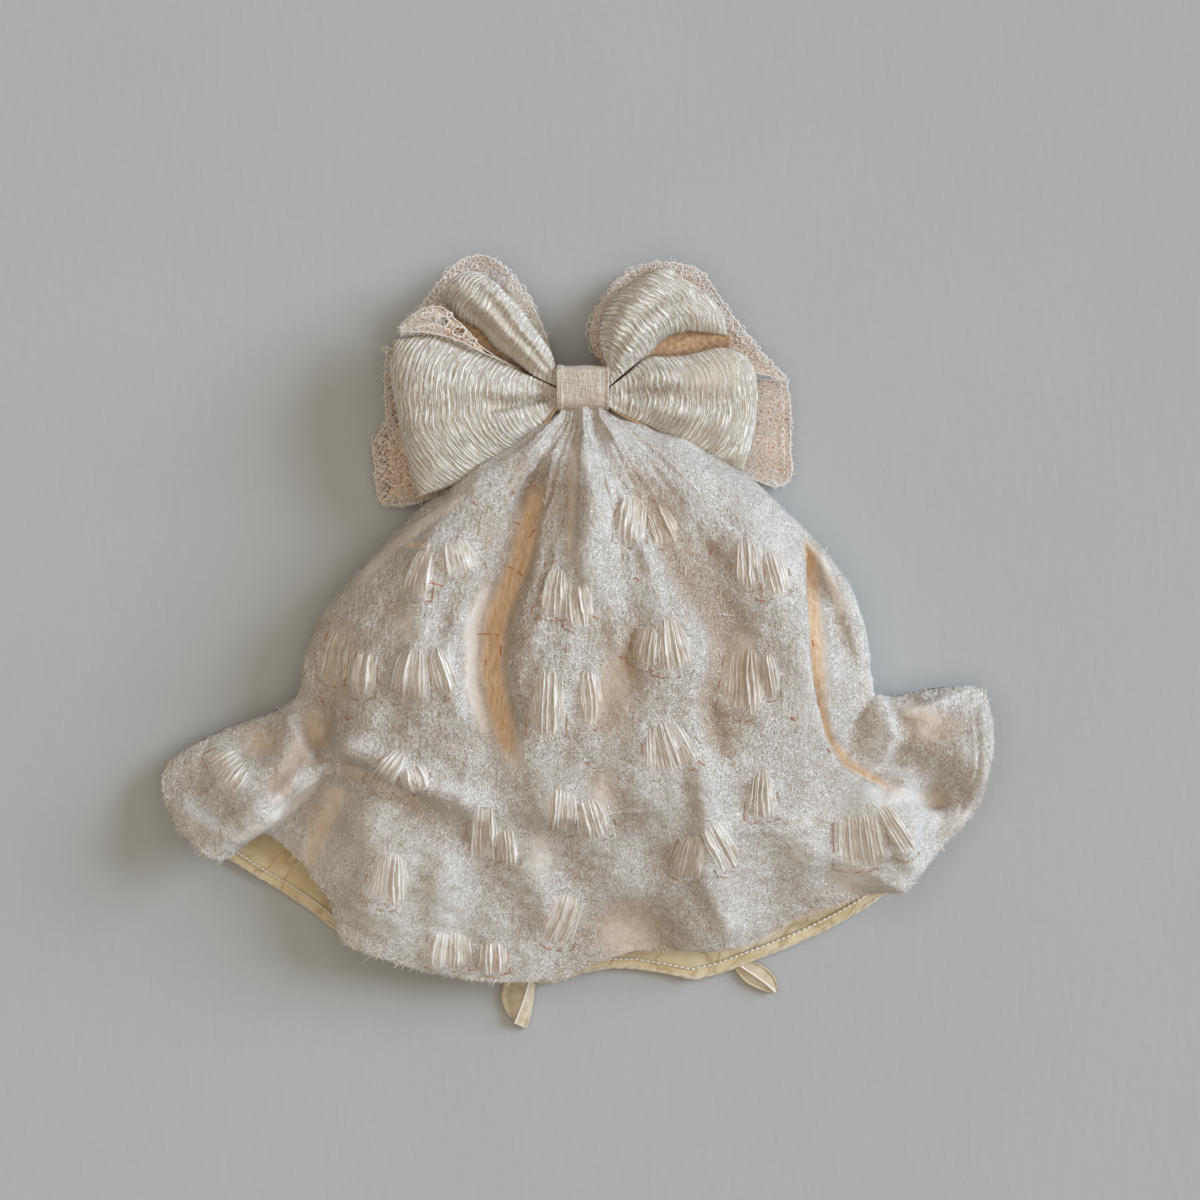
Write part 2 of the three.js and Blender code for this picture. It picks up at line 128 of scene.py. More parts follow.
def curve(points, t):
    """A smooth curve through points, at shares t of its length."""
    points = np.array(points, float)
    at = np.concatenate([[0], np.cumsum(np.linalg.norm(np.diff(points, axis=0), axis=1))])
    at = at / at[-1]
    rows = {"at": at, "x": points[:, 0], "y": points[:, 1]}
    slopes = np.gradient(points, at, axis=0)
    t = np.clip(t, 0, 1)
    k = np.clip(np.searchsorted(rows["at"], t, side="right") - 1, 0, len(at) - 2)
    step = (at[k + 1] - at[k])[..., None]
    u = (t - at[k])[..., None] / step
    return ((2 * u ** 3 - 3 * u ** 2 + 1) * points[k] + (u ** 3 - 2 * u ** 2 + u) * step * slopes[k]
            + (3 * u ** 2 - 2 * u ** 3) * points[k + 1] + (u ** 3 - u ** 2) * step * slopes[k + 1])


# ---- The hat's form, close to that in the part's source ----

CLOTH = 1.4
GATHER_RADIUS = 13
HEADLINE_RADIUS = 160
BACK_CURL = 0.4
FULLNESS = 2.6  # how squarely the hat is filled out across, where 2 is an ellipse
LOWEST_FRONT = 9

STATIONS = table("at left right top side back", [
    (0.0, 50, 55, 26.5, 15, 8.5), (0.1, 53.5, 64, 33, 13, 4), (0.25, 54.6, 65, 38, 11, 0),
    (0.4, 54.4, 62.4, 43, 10, 0), (0.53, 52.8, 59, 46, 10, 0), (0.68, 51, 56, 47, 10, 0),
    (0.81, 49.2, 52, 45.5, 9.5, 0), (0.91, 46.3, 47.8, 43, 9, 0), (1.0, 43.2, 43.6, 39.5, 9, 0),
    (1.15, 43.8, 45, 34, 9.5, 1.6), (1.5, 46.4, 49.5, 25, 10.5, 1.6), (1.8, 47.8, 52.4, 18.5, 11, 1.6),
    (2.0, 48.3, 53.5, 15, 10, 1.6)])

# The hem's distance from the knot, from the left side, -1, to the right side, 1.
HEMS = table("at front back", [
    (-1.0, 212, 212), (-0.97, 220, 220), (-0.9, 226, 226), (-0.81, 224, 225), (-0.75, 206, 224),
    (-0.62, 209, 223), (-0.53, 216, 225), (-0.46, 228, 228), (-0.3, 228, 228), (-0.05, 224, 226),
    (0.03, 217, 220.5), (0.12, 214.5, 222), (0.22, 217, 229), (0.32, 219, 227), (0.43, 215.5, 226),
    (0.54, 218, 225), (0.63, 222, 223), (0.73, 220, 219), (0.83, 217, 216), (0.9, 209, 208),
    (0.96, 199, 198.5), (1.0, 190, 190)])

# Each fold: its name, first and last stage, first and last angle, half width in degrees, height and
# the lean that tips it sideways, in degrees.
FOLDS = [
    ("centre gather", -0.1, 0.5, 1, 3, 9, 4, 0),
    ("left gather", -0.1, 0.62, -43, -36, 7, 4, 0),
    ("right gather", -0.1, 0.45, 34, 24, 8, 3, 0),
    ("main valley", 0.02, 0.98, -30, -12, 3.8, -7.5, 0),
    ("right hollow", 0.3, 0.85, 39, 27, 6, -3.5, 0),
    ("far valley", 0.42, 1.25, 57, 35.5, 3.8, -8, 0),
    ("side dent", 0.74, 1.25, -46, -32, 3.4, -5, 0),
    ("left lobe", 1.05, 2.4, -39.5, -42.5, 5, 10, 2.6),
    ("lobe valley", 1.08, 2.3, -31.5, -33, 3.6, -6, 0),
    ("left billow", 0.95, 2.4, -22, -19, 7, 3, 0),
    ("right billow", 0.95, 2.4, 20, 23, 8, 3, 0),
    ("tip crease", 1.02, 1.98, 36, 43.5, 3, -5, 0),
    ("right tip", 1.2, 2.4, 46, 49, 4.5, 9, -1),
]


def hat_point(turn, v):
    """A point of the hat's outer face, without its small relief."""
    across, rise = -np.cos(turn), np.sin(turn)
    front = rise >= 0

    def station(name):
        return column(STATIONS, name, v)

    angle = across * mix(station("left"), station("right"), (1 + across) / 2)
    hem = np.where(front, column(HEMS, "front", across), column(HEMS, "back", across))
    radius = np.where(v > 1, mix(HEADLINE_RADIUS, hem, v - 1), mix(GATHER_RADIUS, HEADLINE_RADIUS, v))
    free = smoothstep(rise, 0, 0.5)
    filled = np.maximum(1 - np.abs(across) ** FULLNESS, 0) ** (1 / FULLNESS)
    height = mix(station("side"), station("top"), np.where(front, filled, 0))
    shift = 0
    for _, first, last, start, end, width, fold_height, lean in FOLDS:
        share = (v - first) / (last - first)
        away = (angle - mix(start, end, share)) / width
        bump = np.exp(-away * away) * smoothstep(share, 0, 0.25) * smoothstep(1 - share, 0, 0.25) * free
        height = height + fold_height * bump
        shift = shift + lean * bump
    height = height + 0.2 * np.cos(15 * across * PI) * free * (1 - smoothstep(v, 0, 0.55))
    height = height + 1.6 * np.sin(9 * across * PI) * free * smoothstep(v, 1, 2)
    spare = height - LOWEST_FRONT
    kept_up = LOWEST_FRONT + (spare + np.sqrt(spare * spare + 4)) / 2
    height = mix(height, kept_up, smoothstep(v, 0.3, 0.5) * free)
    curl = 1 - np.minimum(1, -np.minimum(rise, 0) / BACK_CURL)
    height = np.where(front, height, mix(station("back"), station("side"), curl * curl))
    angle = np.radians(angle + shift)
    return np.stack([radius * np.sin(angle), -radius * np.cos(angle), height], -1)


# ---- The cloth's folds and small relief, in plan ----

puckers = Waves(11, 16, 40)
pillows = Waves(14, 9, 20, 20)
crumples = Waves(12, 4, 8, 20)
nubs = Waves(13, 1.3, 2.6, 32)
# How high each kind of small relief stands, in mm.
HEIGHTS = {"puckers": 0.35, "pillow": 0.25, "motifs": 0.9, "crumples": 0.1, "nubs": 0.12, "pleats": 0.12}

# Ridges, and valleys with a negative height: a path over the plan, the widths of the flanks to the left
# and right of the way that it runs, and its height, all in mm, and how much peach it shows: the peach
# underlay, deepened as painted warm shade in the valleys.
CREASES = [
    ("main valley", [(-10, -28), (-18, -43), (-24, -67), (-32.5, -86), (-34.5, -104), (-31, -122),
                     (-26, -138), (-21, -152)],
     4.5, 4.0, -1.6, 0.8),
    ("main valley's depth", [(-15, -36), (-20, -54), (-27, -74), (-32, -90), (-31.5, -108), (-27, -128)],
     1.4, 2.0, -1.2, 0.5),
    ("main valley's banks", [(-8, -22), (-17, -46), (-25, -68), (-33, -92), (-33, -114), (-26, -138)],
     12, 16, -2.4, 0),
    ("left shoulder", [(-22, -15), (-33, -28), (-45, -42), (-54, -56), (-60, -74)], 7, 5, 2.6, 0),
    ("shoulder's foot", [(-20, -24), (-34, -42), (-44, -60)], 3, 3, -1.2, 0),
    ("left ridge", [(-58, -66), (-60, -92), (-66, -118)], 8, 8, 2.6, 0),
    ("left bank", [(-42, -76), (-50, -104), (-41, -132)], 5, 5, 2.4, 0),
    ("centre ridge", [(4, -14), (7, -38), (4, -60), (2, -86)], 6, 6, 2.8, 0),
    ("beside the centre", [(-4, -14), (-4, -36), (-5, -74)], 2.4, 1.6, -1.2, 0.2),
    ("right of centre", [(13, -16), (18, -32), (24, -50)], 3.5, 3.5, -1.8, 0),
    ("shoulder ridge", [(22, -16), (42, -31), (60, -42), (80, -56), (93, -73)], 7, 9, 1.8, 0),
    ("fan ridge", [(13, -28), (19, -48), (25, -66), (29, -84), (30, -104)], 5, 6, 1.8, 0),
    ("right slope", [(15, -26), (22, -42), (28, -55), (35, -68), (44, -80), (50, -92), (50, -106), (46, -120),
                     (50, -134), (60, -148)], 10, 4.5, -4.6, 0),
    ("low hollow", [(22, -80), (18, -98), (8, -114), (5, -134)], 9, 3.5, -2.8, 0),
    ("right brim's rise", [(114, -142), (121, -160), (121, -178), (112, -196)], 9, 30, 11.0, 0),
    ("panel's edge", [(72, -44), (80, -60), (81.5, -84), (82.5, -106), (87, -127), (95, -142)],
     1.7, 8, 3.4, 0),
    ("far valley", [(86, -106), (89, -119), (92, -131), (99.5, -141.5), (113, -149.5), (127, -154)],
     2.0, 1.3, -3.2, 0.7),
    ("far valley's head", [(83, -52), (84.5, -66), (85.2, -88), (86.2, -108), (89, -122)],
     4.6, 0.9, -4.6, 0.75),
    ("far strip", [(96, -66), (102, -94), (105, -116), (109, -128)], 5, 4, 3.0, 0),
    ("side fold", [(108, -104), (114, -123), (118, -132), (112, -139), (104, -143)], 2.4, 5, 3.4, 0),
    ("headline", [(-98, -130), (-76, -138), (-58, -148), (-42, -153), (-28, -153)], 4, 6, 3.4, 0),
    ("headline's foot", [(-94, -141), (-72, -148), (-54, -160)], 3, 3, -1.2, 0.1),
    ("under the lobe", [(-88, -146), (-98, -164), (-106, -186)], 6, 6, -2.0, 0.35),
    ("lobe's root", [(-100, -124), (-107, -140), (-117, -160)], 5, 6, -3.0, 0.2),
    ("low ridge", [(40, -130), (44, -150), (47, -168), (46, -184), (54, -202), (61, -216)], 9, 4, 3.2, 0),
    ("billow ridge", [(-79, -150), (-78, -176), (-80, -206)], 12, 8, 3.2, 0),
    ("low left ridge", [(-48, -166), (-54, -188), (-56, -214), (-56, -226)], 11, 6, 3.4, 0),
    ("low middle ridge", [(-14, -146), (-16, -174), (-16, -208)], 5, 7, 1.8, 0),
    ("low right ridge", [(78, -150), (84, -176), (88, -196)], 5, 8, 1.6, 0),
    ("tip's upper rim", [(118, -123), (134, -119), (149, -112)], 2, 2, 1.6, 0),
    ("tip's outer rim", [(151, -116), (153, -136), (147, -156), (136, -172)], 3, 4, 2.2, 0),
    ("tip's fold", [(104, -151), (116, -156), (130, -157), (142, -157)], 6, 2.5, -4.4, 0.1),
    ("lobe's lower roll", [(-156, -147), (-148, -161), (-134, -166), (-114, -154), (-101, -138)],
     4, 6, 3.0, 0),
    ("lobe's neck", [(-113, -122), (-106, -130), (-100, -141)], 3, 3, 1.8, 0),
    ("hem band", [(148, -121), (148.5, -146), (144.5, -156), (141, -165)], 0.7, 0.7, -0.8, 0),
    ("hem band lip", [(146.8, -121), (147.2, -146), (143.2, -155), (139.8, -164)], 0.8, 0.8, 0.5, 0),
]

# Hollows, and swells with a negative depth: their middle, half width and half height and depth, all in
# mm, and how much peach they show: the peach underlay, deepened as painted warm shade in the hollows.
HOLLOWS = [
    (-90, -104, 8, 16, 2.6, 0.3), (-101, -128, 5, 8, 2.0, 0.3), (13, -112, 7, 18, 2.2, 0.1),
    (60, -104, 6, 14, 1.5, 0.25), (54, -174, 4, 6, 1.6, 0.15), (18, -206, 13, 13, 4.4, 0.25),
    (131, -128, 11, 7, 4.2, 0.1), (-62, -59.5, 6, 1.2, 0.7, 0.8), (134, -146, 10, 8, -1.2, 0),
    (-121, -134, 9, 6, 2.2, 0.3), (-84, -186, 22, 28, -3.0, 0), (-66, -88, 6, 8, 1.2, 0.15),
    (-16, -176, 5, 12, 1.6, 0.25), (8, -150, 6, 8, 1.2, 0.2), (102, -182, 9, 9, 1.2, 0.2),
    (-134, -150, 12, 8, -2.0, 0),
]

# How thickly white threads lie where the cloth is level, from 0 to 1, and how much more on its swells.
EVEN_COVER, SWELL_COVER = 0.62, 0.1

# Where the cloth lies smooth and sheer, with hardly any cut threads: how wide, how much peach it shows,
# as the peach underlay with painted warm shade, and its path over the plan.
SHEER = [
    ("valley's left bank", 2.6, 0.05, [(-33, -70), (-41, -90), (-41, -112), (-34, -134)]),
    ("left side", 2.2, 0.0, [(-40, -38), (-69, -58), (-88, -76)]),
    ("far side", 1.6, 0.1, [(88, -60), (94, -74), (98, -88)]),
    ("under the lobe", 2.4, 0.15, [(-134, -172), (-118, -164), (-104, -152), (-97, -143)]),
    ("tip's lining", 3.0, 0.05, [(119, -121), (128, -122), (136, -128)]),
]

# Each motif is a fan of satin threads: its middle, width and height in mm, its lean in degrees from
# straight down the plan, and how much narrower its top is.
MOTIFS = [
    (18, -50, 12, 18, -4, 0.8), (30, -52, 11, 15, 22, 0.7), (-60, -70, 13, 18, -16, 0.45),
    (-46, -64, 17, 13, 14, 0.6), (61, -66, 12, 18, 4, 0.6), (71, -70, 11, 16, 14, 0.8),
    (-10, -77, 12, 18, -6, 0.5), (-1, -82, 12, 16, 6, 0.8), (24, -97, 12, 15, -10, 0.7),
    (33, -96, 17, 21, 10, 0.35), (60, -110, 19, 24, 0, 0.6), (69, -108, 7, 16, 8, 0.8),
    (-92, -101, 14, 19, -14, 0.7), (-82, -107, 12, 17, -8, 0.8), (-63, -108, 16, 20, -6, 0.5),
    (-52, -106, 11, 18, 16, 0.6), (-13, -118, 14, 24, -2, 0.8), (3, -116, 10, 20, 4, 0.8),
    (32, -134, 24, 19, 18, 0.4), (-72, -143, 12, 19, -34, 0.4), (-62, -146, 12, 10, 20, 0.7),
    (-133, -143, 20, 12, -48, 0.6), (-37, -167, 13, 21, -2, 0.7), (-28, -172, 9, 14, 4, 0.8),
    (-8, -158, 13, 17, -4, 0.8), (4, -161, 14, 15, 16, 0.8), (67, -152, 13, 19, 2, 0.4),
    (40, -176, 14, 16, -10, 0.6), (52, -172, 12, 20, 28, 0.7), (104, -170, 20, 20, 8, 0.8),
    (117, -166, 9, 22, 32, 0.6), (-72, -184, 19, 20, -6, 0.5), (-8, -200, 15, 21, -20, 0.7),
    (-50, -212, 18, 14, -4, 0.8), (-34, -215, 12, 12, 0, 0.8),
]


def pillow(x, y):
    """Soft swellings drawn out the way the cloth hangs from the knot."""
    return pillows(120 * np.arctan2(x, -y), 0.45 * np.hypot(x, y))


def crease_at(x, y, path, left, right):
    """1 along a crease's line, falling to 0 down its flanks and to its ends."""
    away, side, along = beside_path(x, y, path)
    ends = smoothstep(along, 0, 0.2) * smoothstep(1 - along, 0, 0.2)
    return np.exp(-(away / np.where(side > 0, left, right)) ** 2) * ends


def hollow_at(x, y, middle_x, middle_y, half_width, half_height):
    return np.exp(-((x - middle_x) / half_width) ** 2 - ((y - middle_y) / half_height) ** 2)


def sheerness(x, y):
    """How smooth and sheer the cloth is, and how much peach it shows there: the peach underlay, deepened as
    painted warm shade in valleys and hollows.
    """
    smooth, peach_in_shade = np.zeros(np.shape(x)), np.zeros(np.shape(x))
    for _, width, peach, path in SHEER:
        here = crease_at(x, y, path, width, width)
        smooth, peach_in_shade = np.maximum(smooth, here), np.maximum(peach_in_shade, here * peach)
    dents = [(crease_at(x, y, path, left, right), peach) for _, path, left, right, _,
             peach in CREASES if peach]
    dents += [(hollow_at(x, y, *where), peach) for *where, _, peach in HOLLOWS if peach]
    for here, peach in dents:
        smooth = np.maximum(smooth, here * min(1, 0.45 + 0.7 * peach))
        peach_in_shade = np.maximum(peach_in_shade, here * peach)
    return smooth, peach_in_shade


def cover(x, y):
    """How thickly white threads cover the cloth, from 0 to 1: a little more on its soft swells."""
    return np.clip(EVEN_COVER + SWELL_COVER * pillow(x, y), 0, 1)


def in_motifs(x, y, spread=1.0):
    """1 inside a motif, falling to 0 round it."""
    inside = np.zeros(np.shape(x))
    for middle_x, middle_y, width, height, lean, _ in MOTIFS:
        turned = math.radians(lean)
        across = (x - middle_x) * math.cos(turned) + (y - middle_y) * math.sin(turned)
        down = (y - middle_y) * math.cos(turned) - (x - middle_x) * math.sin(turned)
        away = (across / (width * 0.52 * spread)) ** 2 + (down / (height * 0.52 * spread)) ** 2
        inside = np.maximum(inside, np.exp(-away ** 2))
    return inside


def swelling(x, y):
    """How far the folds and soft swells of the cloth stand proud of its plain form, in mm."""
    folded = sum(height * crease_at(x, y, path, left, right) for _, path, left, right, height, _ in CREASES)
    folded = folded - sum(depth * hollow_at(x, y, *where) for *where, depth, _ in HOLLOWS)
    return (folded + HEIGHTS["puckers"] * puckers(x, y) + HEIGHTS["pillow"] * pillow(x, y)
            + HEIGHTS["motifs"] * in_motifs(x, y))


def risen(x, y, level):
    """How high the cloth stands, from 0 to 1, with its plain form at a given level."""
    return np.clip(level + swelling(x, y) / 7, 0, 1)


def relief(turn, v, x, y):
    """How far the cloth's surface stands proud of its plain form, in mm."""
    smooth, _ = sheerness(x, y)
    front = smoothstep(np.sin(turn), 0.02, 0.25)
    full = smoothstep(v, 0, 0.25)
    pleats = np.cos(26 * np.cos(turn) + 1.5 * puckers(x, y)) * (1 - smoothstep(v, 0.2, 0.7))
    rough = (1 - 0.8 * smooth) * (HEIGHTS["crumples"] * crumples(x, y) + HEIGHTS["nubs"] * nubs(x, y))
    folded = swelling(x, y) * mix(0.5, 1, full) + HEIGHTS["pleats"] * pleats
    return front * folded + rough * (0.3 + 0.7 * full)


class Surface:
    """The cloth on a grid of turns and stages, with its normals, to place things on."""

    def __init__(self, turns, stages):
        self.turns, self.stages = turns, stages
        turn, v = np.meshgrid(turns, stages)
        points = hat_point(turn, v)
        normals = self.normals_of(points)
        points = points + normals * relief(turn, v, points[..., 0], points[..., 1])[..., None]
        self.turn, self.v, self.points, self.normals = turn, v, points, self.normals_of(points)

    @staticmethod
    def normals_of(points):
        across = np.roll(points, -1, axis=1) - np.roll(points, 1, axis=1)
        across[:, 0] = points[:, 1] - points[:, 0]
        across[:, -1] = points[:, -1] - points[:, -2]
        down = np.gradient(points, axis=0)
        return unit(np.cross(down, across))

    def at(self, i, j):
        """Point, normal and two directions along the cloth at fractional column i and row j."""
        rows, columns = self.points.shape[:2]
        i = np.clip(i, 0, columns - 1.001)
        j = np.clip(j, 0, rows - 1.001)
        i0, j0 = i.astype(int), j.astype(int)
        s, t = (i - i0)[..., None], (j - j0)[..., None]

        def blend(grid):
            upper = mix(grid[j0, i0], grid[j0, i0 + 1], s)
            lower = mix(grid[j0 + 1, i0], grid[j0 + 1, i0 + 1], s)
            return mix(upper, lower, t), upper, lower

        point, upper, lower = blend(self.points)
        normal = unit(blend(self.normals)[0])
        down = lower - upper
        across = mix(self.points[j0, i0 + 1] - self.points[j0, i0],
                     self.points[j0 + 1, i0 + 1] - self.points[j0 + 1, i0], t)
        return point, normal, across, down

    def nearest(self, x, y):
        """The column and row whose place in plan is nearest."""
        away = np.hypot(self.points[..., 0] - x, self.points[..., 1] - y)
        j, i = np.unravel_index(np.argmin(away), away.shape)
        return float(i), float(j)

    def over(self, x, y):
        """The point and normal over places in plan, which are all near each other."""
        i, j = self.nearest(np.mean(x), np.mean(y))
        i, j = np.full(np.shape(x), i), np.full(np.shape(x), j)
        for _ in range(6):
            point, normal, across, down = self.at(i, j)
            miss_x, miss_y = x - point[..., 0], y - point[..., 1]
            scale = across[..., 0] * down[..., 1] - across[..., 1] * down[..., 0]
            scale = np.where(np.abs(scale) < 0.05, np.copysign(0.05, scale), scale)
            i = i + np.clip((miss_x * down[..., 1] - miss_y * down[..., 0]) / scale, -6, 6)
            j = j + np.clip((miss_y * across[..., 0] - miss_x * across[..., 1]) / scale, -6, 6)
        point, normal, _, _ = self.at(i, j)
        return point, normal


# ---- Making meshes ----


def grid_faces(rows, columns, wrap=False, start=0):
    i, j = np.meshgrid(np.arange(columns - (0 if wrap else 1)), np.arange(rows - 1))
    a, b = j * columns + i, j * columns + (i + 1) % columns
    return np.stack([a, b, b + columns, a + columns], -1).reshape(-1, 4) + start


def new_piece(name, points, faces, materials, uv=None, face_slots=None, **fields):
    """A mesh from points in mm and arrays of faces. fields are numbers at its points."""
    faces = faces if isinstance(faces, list) else [faces]
    mesh = bpy.data.meshes.new(name)
    points = np.asarray(points, float).reshape(-1, 3)
    mesh.vertices.add(len(points))
    mesh.vertices.foreach_set("co", (points * MM + CENTRE).ravel())
    corners = np.concatenate([part.ravel() for part in faces])
    sizes = np.concatenate([np.full(len(part), part.shape[1]) for part in faces])
    mesh.loops.add(len(corners))
    mesh.loops.foreach_set("vertex_index", corners)
    mesh.polygons.add(len(sizes))
    mesh.polygons.foreach_set("loop_start", np.concatenate([[0], np.cumsum(sizes)[:-1]]))
    if face_slots is not None:
        mesh.polygons.foreach_set("material_index", face_slots)
    if uv is not None:
        layer = mesh.uv_layers.new(name="UVMap")
        layer.data.foreach_set("uv", np.asarray(uv, float).reshape(-1, 2)[corners].ravel())
    for key, values in fields.items():
        held = mesh.attributes.new(key, "FLOAT", "POINT")
        held.data.foreach_set("value", np.asarray(values, float).ravel())
    mesh.update(calc_edges=True)
    mesh.validate()
    mesh.shade_smooth()
    for material in materials if isinstance(materials, list) else [materials]:
        mesh.materials.append(material)
    piece = bpy.data.objects.new(name, mesh)
    bpy.context.scene.collection.objects.link(piece)
    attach(piece, "root")
    return piece


def grid_uv(rows, columns):
    u, w = np.meshgrid(np.linspace(0.01, 0.99, columns), np.linspace(0.99, 0.01, rows))
    return np.stack([u, w], -1)


def grid_piece(name, points, materials, **rest):
    """A piece whose points lie in rows and columns."""
    shape = points.shape[:2]
    return new_piece(name, points, grid_faces(*shape), materials, uv=grid_uv(*shape), **rest)


def stand_for(node, slot, *pieces):
    """Each piece takes the place of a node of the solids, which is hidden; slot is not used."""
    for piece in pieces:
        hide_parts(node)


def tubes(paths, radii, sides=6, flatness=1.0):
    """Tubes along paths of shape (tubes, points, 3), with radii of shape (tubes, points)."""
    count, steps = paths.shape[:2]
    along = unit(np.gradient(paths, axis=1))
    up = np.zeros_like(along)
    up[..., 2] = 1
    side = unit(np.cross(along, up))
    up = np.cross(side, along)
    turn = np.linspace(0, 2 * PI, sides, endpoint=False)
    ring = side[..., None, :] * np.cos(turn)[:, None] + flatness * up[..., None, :] * np.sin(turn)[:, None]
    points = paths[..., None, :] + ring * radii[..., None, None]
    i, j = np.meshgrid(np.arange(sides), np.arange(steps - 1))
    a, b = j * sides + i, j * sides + (i + 1) % sides
    one = np.stack([a, b, b + sides, a + sides], -1).reshape(-1, 4)
    faces = (one[None] + (np.arange(count) * steps * sides)[:, None, None]).reshape(-1, 4)
    return points.reshape(-1, 3), faces


def strokes(points, along, side, length, width, bend, normal):
    """Fine tapering threads: one quad and one triangle each, bent away from the cloth."""
    half = side * (width / 2)[:, None]
    middle = points + along * (length * 0.55)[:, None] + normal * (bend * 0.7)[:, None]
    tip = points + along * length[:, None] + normal * (bend * 0.6)[:, None]
    corners = np.stack([points - half, points + half, middle + half, middle - half, tip], 1)
    base = np.arange(len(points))[:, None] * 5
    return corners.reshape(-1, 3), [base + np.array([0, 1, 2, 3]), base + np.array([3, 2, 4])]


def thread_piece(name, shades, *stroke):
    """Cut threads as one piece, each in one of the thread shades."""
    return new_piece(name, *strokes(*stroke), THREAD_SHADES, face_slots=np.concatenate([shades, shades]))


# ---- Materials ----

def linear(red, green, blue):
    """A colour from 0 to 255 a channel, as shaders take it."""
    return tuple(((c / 255 + 0.055) / 1.055) ** 2.4 if c > 10 else c / 255 / 12.92
                 for c in (red, green, blue)) + (1.0,)


class Finish:
    """A material whose nodes are added one by one."""

    def __init__(self, name, roughness=0.85, sheen=0.0, **sockets):
        self.material = bpy.data.materials.new(name)
        self.material.use_nodes = True
        self.nodes, self.links = self.material.node_tree.nodes, self.material.node_tree.links
        self.shader = self.nodes["Principled BSDF"]
        self.shader.inputs["Roughness"].default_value = roughness
        self.shader.inputs["Sheen Weight"].default_value = sheen
        self.shader.inputs["Sheen Roughness"].default_value = 0.5
        self.shader.inputs["Specular IOR Level"].default_value = 0.2
        for key, value in sockets.items():
            self.shader.inputs[key.replace("_", " ")].default_value = value
        self.place = self.nodes.new("ShaderNodeTexCoord").outputs["Object"]

    def wire(self, value, socket):
        if isinstance(value, bpy.types.NodeSocket):
            self.links.new(value, socket)
        else:
            socket.default_value = value

    def field(self, name):
        made = self.nodes.new("ShaderNodeAttribute")
        made.attribute_name = name
        return made.outputs["Fac"]

    def turned(self, size_mm, stretch, lean):
        """Places turned by a lean in degrees and counted in features of one size."""
        scaled = self.nodes.new("ShaderNodeMapping")
        turned = self.nodes.new("ShaderNodeMapping")
        turned.inputs["Rotation"].default_value[2] = math.radians(lean)
        self.links.new(self.place, turned.inputs["Vector"])
        self.links.new(turned.outputs["Vector"], scaled.inputs["Vector"])
        scaled.inputs["Scale"].default_value = [value / (size_mm * MM) for value in stretch]
        return scaled.outputs["Vector"]

    def strung(self, width_mm, length_mm):
        """Places counted across and along a piece's own threads, by its fields "run" and "along"."""
        made = self.nodes.new("ShaderNodeCombineXYZ")
        self.links.new(self.math("DIVIDE", self.field("run"), width_mm), made.inputs[0])
        self.links.new(self.math("DIVIDE", self.field("along"), length_mm), made.inputs[1])
        return made.outputs[0]

    def noise(self, size_mm, detail=3.0, roughness=0.55, stretch=(1, 1, 1), lean=0, place=None):
        made = self.nodes.new("ShaderNodeTexNoise")
        self.links.new(place or self.turned(size_mm, stretch, lean), made.inputs["Vector"])
        made.inputs["Scale"].default_value = 1
        made.inputs["Detail"].default_value = detail
        made.inputs["Roughness"].default_value = roughness
        return made.outputs["Fac"]

    def cracks(self, size_mm, stretch=(1, 1, 1), lean=0):
        """Rounded cells, 0 at the cracks between them, with wandering sides."""
        placed = self.turned(size_mm, stretch, lean)
        bent = self.nodes.new("ShaderNodeVectorMath")
        bent.operation = "ADD"
        wander = self.nodes.new("ShaderNodeTexNoise")
        wander.inputs["Scale"].default_value = 1.3
        self.links.new(placed, wander.inputs["Vector"])
        self.links.new(placed, bent.inputs[0])
        self.links.new(wander.outputs["Color"], bent.inputs[1])
        made = self.nodes.new("ShaderNodeTexVoronoi")
        made.feature = "DISTANCE_TO_EDGE"
        made.inputs["Scale"].default_value = 1
        self.links.new(bent.outputs["Vector"], made.inputs["Vector"])
        return made.outputs["Distance"]

    def ramp(self, value, low, high):
        made = self.nodes.new("ShaderNodeMapRange")
        self.wire(value, made.inputs["Value"])
        made.inputs["From Min"].default_value = low
        made.inputs["From Max"].default_value = high
        return made.outputs["Result"]

    def blend(self, share, first, second, mode="MIX"):
        made = self.nodes.new("ShaderNodeMix")
        made.data_type, made.blend_type = "RGBA", mode
        self.wire(share, made.inputs["Factor"])
        self.wire(first, made.inputs[6])
        self.wire(second, made.inputs[7])
        return made.outputs[2]

    def clouds(self, size_mm, dark, light, detail=3, low=0.35, high=0.65, stretch=(1, 1, 1)):
        """A colour that drifts between two over features of one size."""
        return self.blend(self.ramp(self.noise(size_mm, detail, stretch=stretch), low, high), dark, light)

    def math(self, operation, first, second=0.0):
        made = self.nodes.new("ShaderNodeMath")
        made.operation = operation
        self.wire(first, made.inputs[0])
        self.wire(second, made.inputs[1])
        return made.outputs[0]

    def add(self, first, second):
        return self.math("ADD", first, second)

    def times(self, first, second):
        return self.math("MULTIPLY", first, second)

    def highest(self, first, second):
        return self.math("MAXIMUM", first, second)

    def raised(self, colour):
        """Painted shade and highlight: the colour dulled and warmed where the cloth lies low, as shade in its
        hollows, and whitened where it stands up, as highlight on its crests.
        """
        low = self.blend(self.ramp(self.field("rise"), 0.5, 0.1), (1, 1, 1, 1), (0.86, 0.79, 0.71, 1))
        painted_shade = self.blend(1.0, colour, low, "MULTIPLY")
        # Painted highlight: whitened where the cloth stands up.
        proud = self.times(self.ramp(self.field("rise"), 0.5, 0.95), 0.25)
        return self.blend(proud, painted_shade, linear(246, 243, 236))

    def colour(self, value):
        self.wire(value, self.shader.inputs["Base Color"])
        return self

